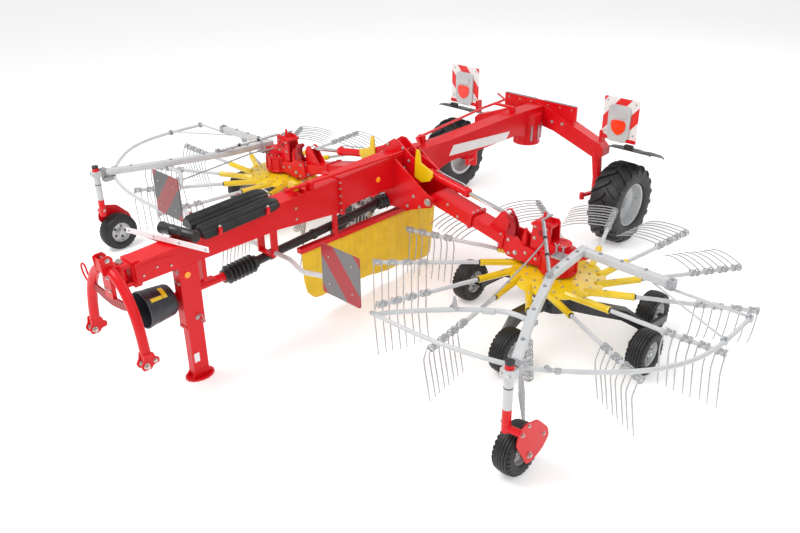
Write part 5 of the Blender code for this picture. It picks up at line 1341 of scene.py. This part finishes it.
def head_details():
    """Ring, bolts, horn, strut and clamps on the rotor head."""
    red, bolts, grey, black, dark = (Shape() for _ in range(5))
    centre = Vector((ROTOR.x, ROTOR.y, 0))
    red.spin([(0.06, 0.69), (0.152, 0.69), (0.168, 0.696), (0.17, 0.712), (0.158, 0.722), (0.158, 0.85),
        (0.166, 0.858), (0.168, 0.878), (0.158, 0.886), (0.112, 0.89), (0.11, 0.93), (0.096, 0.952),
        (0.06, 0.958)], centre, "Z", 44)
    for a, b in circle(0.14, 10, 0.3):
        bolts.bolt(centre + Vector((a, b, 0.8865)), "Z", 0.018)
    for a, b in circle(0.162, 10, 0.3):
        red.disc(centre + Vector((a, b, 0)), "Z", 0.012, 0.716, 0.862, 10)
    for y in (ROTOR.y - 0.1005, ROTOR.y + 0.1005):
        sign = -1 if y < ROTOR.y else 1
        for x, z in ((1.43, 0.87), (1.51, 0.768), (1.62, 0.8), (1.73, 0.775), (1.44, 0.74)):
            bolts.bolt((x, y, z), "Y", 0.026 if x == 1.51 else 0.018, sign)
    # horn-shaped hook over the end of the boom
    for y in (ROTOR.y - 0.108, ROTOR.y - 0.06):
        horn = rounded_outline([(1.4, 0.915), (1.5, 0.915), (1.505, 1.02), (1.47, 1.1), (1.415, 1.115),
            (1.395, 1.09), (1.44, 1.055), (1.45, 1.0), (1.405, 0.96)], 0.02)
        dark.prism(horn, "Y", y, y + 0.012)
    dark.disc((1.46, ROTOR.y - 0.108, 1.06), "Y", 0.014, -0.004, 0.062, 18)
    # castings with spikes on top
    for x, y, top in ((1.575, ROTOR.y - 0.055, 1.015), (1.6, ROTOR.y + 0.05, 1.04),
            (1.735, ROTOR.y - 0.02, 1.2)):
        lathe(red, (x, y, 0.86), (x + 0.01, y, top), [(0.034, 0.0), (0.03, 0.4), (0.02, 0.75), (0.01, 1.0)],
            16)
    for y in (ROTOR.y - 0.0755, ROTOR.y + 0.0755):
        sign = -1 if y < ROTOR.y else 1
        for x, z in ((1.69, 1.07), (1.81, 1.08), (1.69, 0.96), (1.81, 0.96)):
            bolts.bolt((x, y, z), "Y", 0.018, sign)
        dark.disc((1.752, y, 1.02), "Y", 0.03, -0.003, 0.003, 24)
    # the light strut down to the bend of the leader, with its two rubber bands
    top, foot = Vector((1.79, 0.185, 1.15)), Vector((2.22, -0.33, 0.985))
    grey.tube([top, blend(top, foot, 0.5), foot], 0.0165, 16)
    for share in (0.3, 0.62):
        spot = blend(top, foot, share)
        lathe(black, spot, spot + (foot - top).normalized() * 0.03, band(0.0185, 0.0195, 0.2), 18)
    grey.box((2.195, -0.355, 0.975), (2.245, -0.305, 1.005))
    grey.tube([(1.755, 0.215, 1.15), (1.755, 0.365, 1.15)], 0.012, 14)
    # chromed clamp with two wing bolts
    grey.box((1.955, 0.08, 0.9105), (2.06, 0.185, 0.928))
    for x in (1.975, 2.04):
        grey.disc((x, 0.133, 0), "Z", 0.008, 0.928, 1.01, 14)
        grey.tube(smooth_path([(x - 0.022, 0.133, 1.026), (x - 0.008, 0.133, 1.006),
            (x + 0.008, 0.133, 1.006), (x + 0.022, 0.133, 1.026)], 3), 0.005, 8)
    # the thin rod from the head down to the inner bar of the guard
    grey.tube(smooth_path([(1.83, 0.15, 0.985), (1.9, -0.1, 0.975), (1.97, -0.55, 0.915),
        (2.02, -0.93, 0.868)]), 0.008, 10)
    return red, bolts, grey, black, dark


def boom_details():
    bolts = Shape()
    for along, up in ((0.16, 0.03), (0.3, -0.03)):
        bolts.bolt(boom_point(along, -0.1005, up), "Y", 0.016, -1)
    for y in (-0.06, 0.0, 0.06):
        top = boom_point(0.44, y, 0.0725)
        bolts.disc(top, "Z", 0.012, -0.003, 0.01, 6)
    return bolts


def extension_details():
    bolts = Shape()
    for y in (-0.095, 0.095):
        for up in (-0.055, 0.055):
            at = boom_point(0.806, y, up)
            lathe(bolts, at, at - BOOM_AXIS * 0.014, [(0.013, 0.0), (0.013, 1.0)], 6)
    return bolts


def cylinder_shapes():
    start = Vector((BARREL_PIN.x, ROTOR.y, BARREL_PIN.z))
    end = start + LIFT_AXIS * 0.5
    barrel, pipe = Shape(), Shape()
    lathe(barrel, start + LIFT_AXIS * 0.02, end, [(0.034, 0.0), (0.041, 0.02), (0.041, 0.06),
        (0.0385, 0.065), (0.0385, 0.86), (0.0455, 0.87), (0.0455, 0.97), (0.04, 0.99), (0.03, 1.0)], 32)
    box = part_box("lift_barrel_left")
    barrel.disc((BARREL_PIN.x, ROTOR.y, BARREL_PIN.z), "Y", 0.0195, box[0].y - ROTOR.y, box[1].y - ROTOR.y,
        24)
    barrel.disc((BARREL_PIN.x, ROTOR.y, BARREL_PIN.z), "Y", 0.04, -0.026, 0.026, 28)
    normal = Vector((-LIFT_AXIS.z, 0, LIFT_AXIS.x))
    for along in (0.07, 0.455):
        at = start + LIFT_AXIS * along + normal * 0.038
        lathe(barrel, at, at + normal * 0.016, [(0.014, 0.0), (0.014, 0.8), (0.011, 1.0)], 6)
    pipe.tube(smooth_path([start + LIFT_AXIS * 0.07 + normal * 0.05,
        start + LIFT_AXIS * 0.11 + normal * 0.062, start + LIFT_AXIS * 0.26 + normal * 0.06,
        start + LIFT_AXIS * 0.41 + normal * 0.062, start + LIFT_AXIS * 0.455 + normal * 0.05]), 0.006, 10)
    return barrel, pipe


def make_wings():
    carrier, barrel_body = "rotor_carrier_{}", "lift_barrel_{}"
    tube, steel = guard()
    both("guard_tubes_{}", tube, SHADE_GREYED_WHITE, carrier, "white_coating", ["guard_frame_{}"])
    both("guard_clamps_{}", steel, ZINC, carrier, "rim_grey", bevel=0.002)
    white, red, black, bolts = sensing_post()
    both("sensing_post_tube_{}", white, SHADE_GREYED_WHITE, carrier, "white_coating", ["sensing_post_{}"])
    both("sensing_post_red_{}", red, RED, carrier, "red_paint")
    both("sensing_post_cap_{}", black, BLACK, carrier, "black_plastic")
    both("sensing_post_bolts_{}", bolts, BOLT, carrier, "rim_grey")
    red, bolts, grey, black, dark = head_details()
    both("head_castings_{}", red, RED, carrier, "red_paint")
    both("head_bolts_{}", bolts, BOLT, carrier, "rim_grey")
    both("head_rods_{}", grey, ZINC, carrier, "rim_grey")
    both("head_rubber_bands_{}", black, BLACK, carrier, "black_plastic")
    # The hooks and the discs beside them take the darker red of painted shade.
    both("head_hooks_{}", dark, SHADE_RED, carrier, "red_paint", bevel=0.001)
    both("boom_bolts_{}", boom_details(), BOLT, "boom_{}", "rim_grey")
    both("extension_bolts_{}", extension_details(), BOLT, carrier, "rim_grey")
    barrel, pipe = cylinder_shapes()
    both("lift_barrel_turned_{}", barrel, RED, barrel_body, "red_paint", ["lift_barrel_{}"])
    both("lift_barrel_pipe_{}", pipe, ZINC, barrel_body, "rim_grey")


def keep_frame():
    """CAD nodes that stay, with eased edges and the right finish."""
    for node in ("front_beam", "centre_frame", "rear_beam", "axle_beam", "jack_sleeve", "jack_leg",
            "centre_gearbox", "curtain_rail"):
        finish_cad(node, RED)
    finish_cad("steering_rod", RED, 0.0015)
    for side, _ in LEFT_AND_RIGHT:
        for node in ("boom_box", "boom_extension", "rotor_head", "steering_knuckle"):
            finish_cad("%s_%s" % (node, side), RED)
        finish_cad("lift_rod_" + side, CHROME, 0.0)
        finish_cad("transport_hook_" + side, YELLOW, 0.002)
        finish_cad("rotor_chassis_" + side, BLACK_PAINT, 0.004)


make_stage()
make_camera()
keep_frame()
make_rotors()
make_small_wheels()
make_rear_wheels()
make_front()
make_frame_parts()
make_wings()
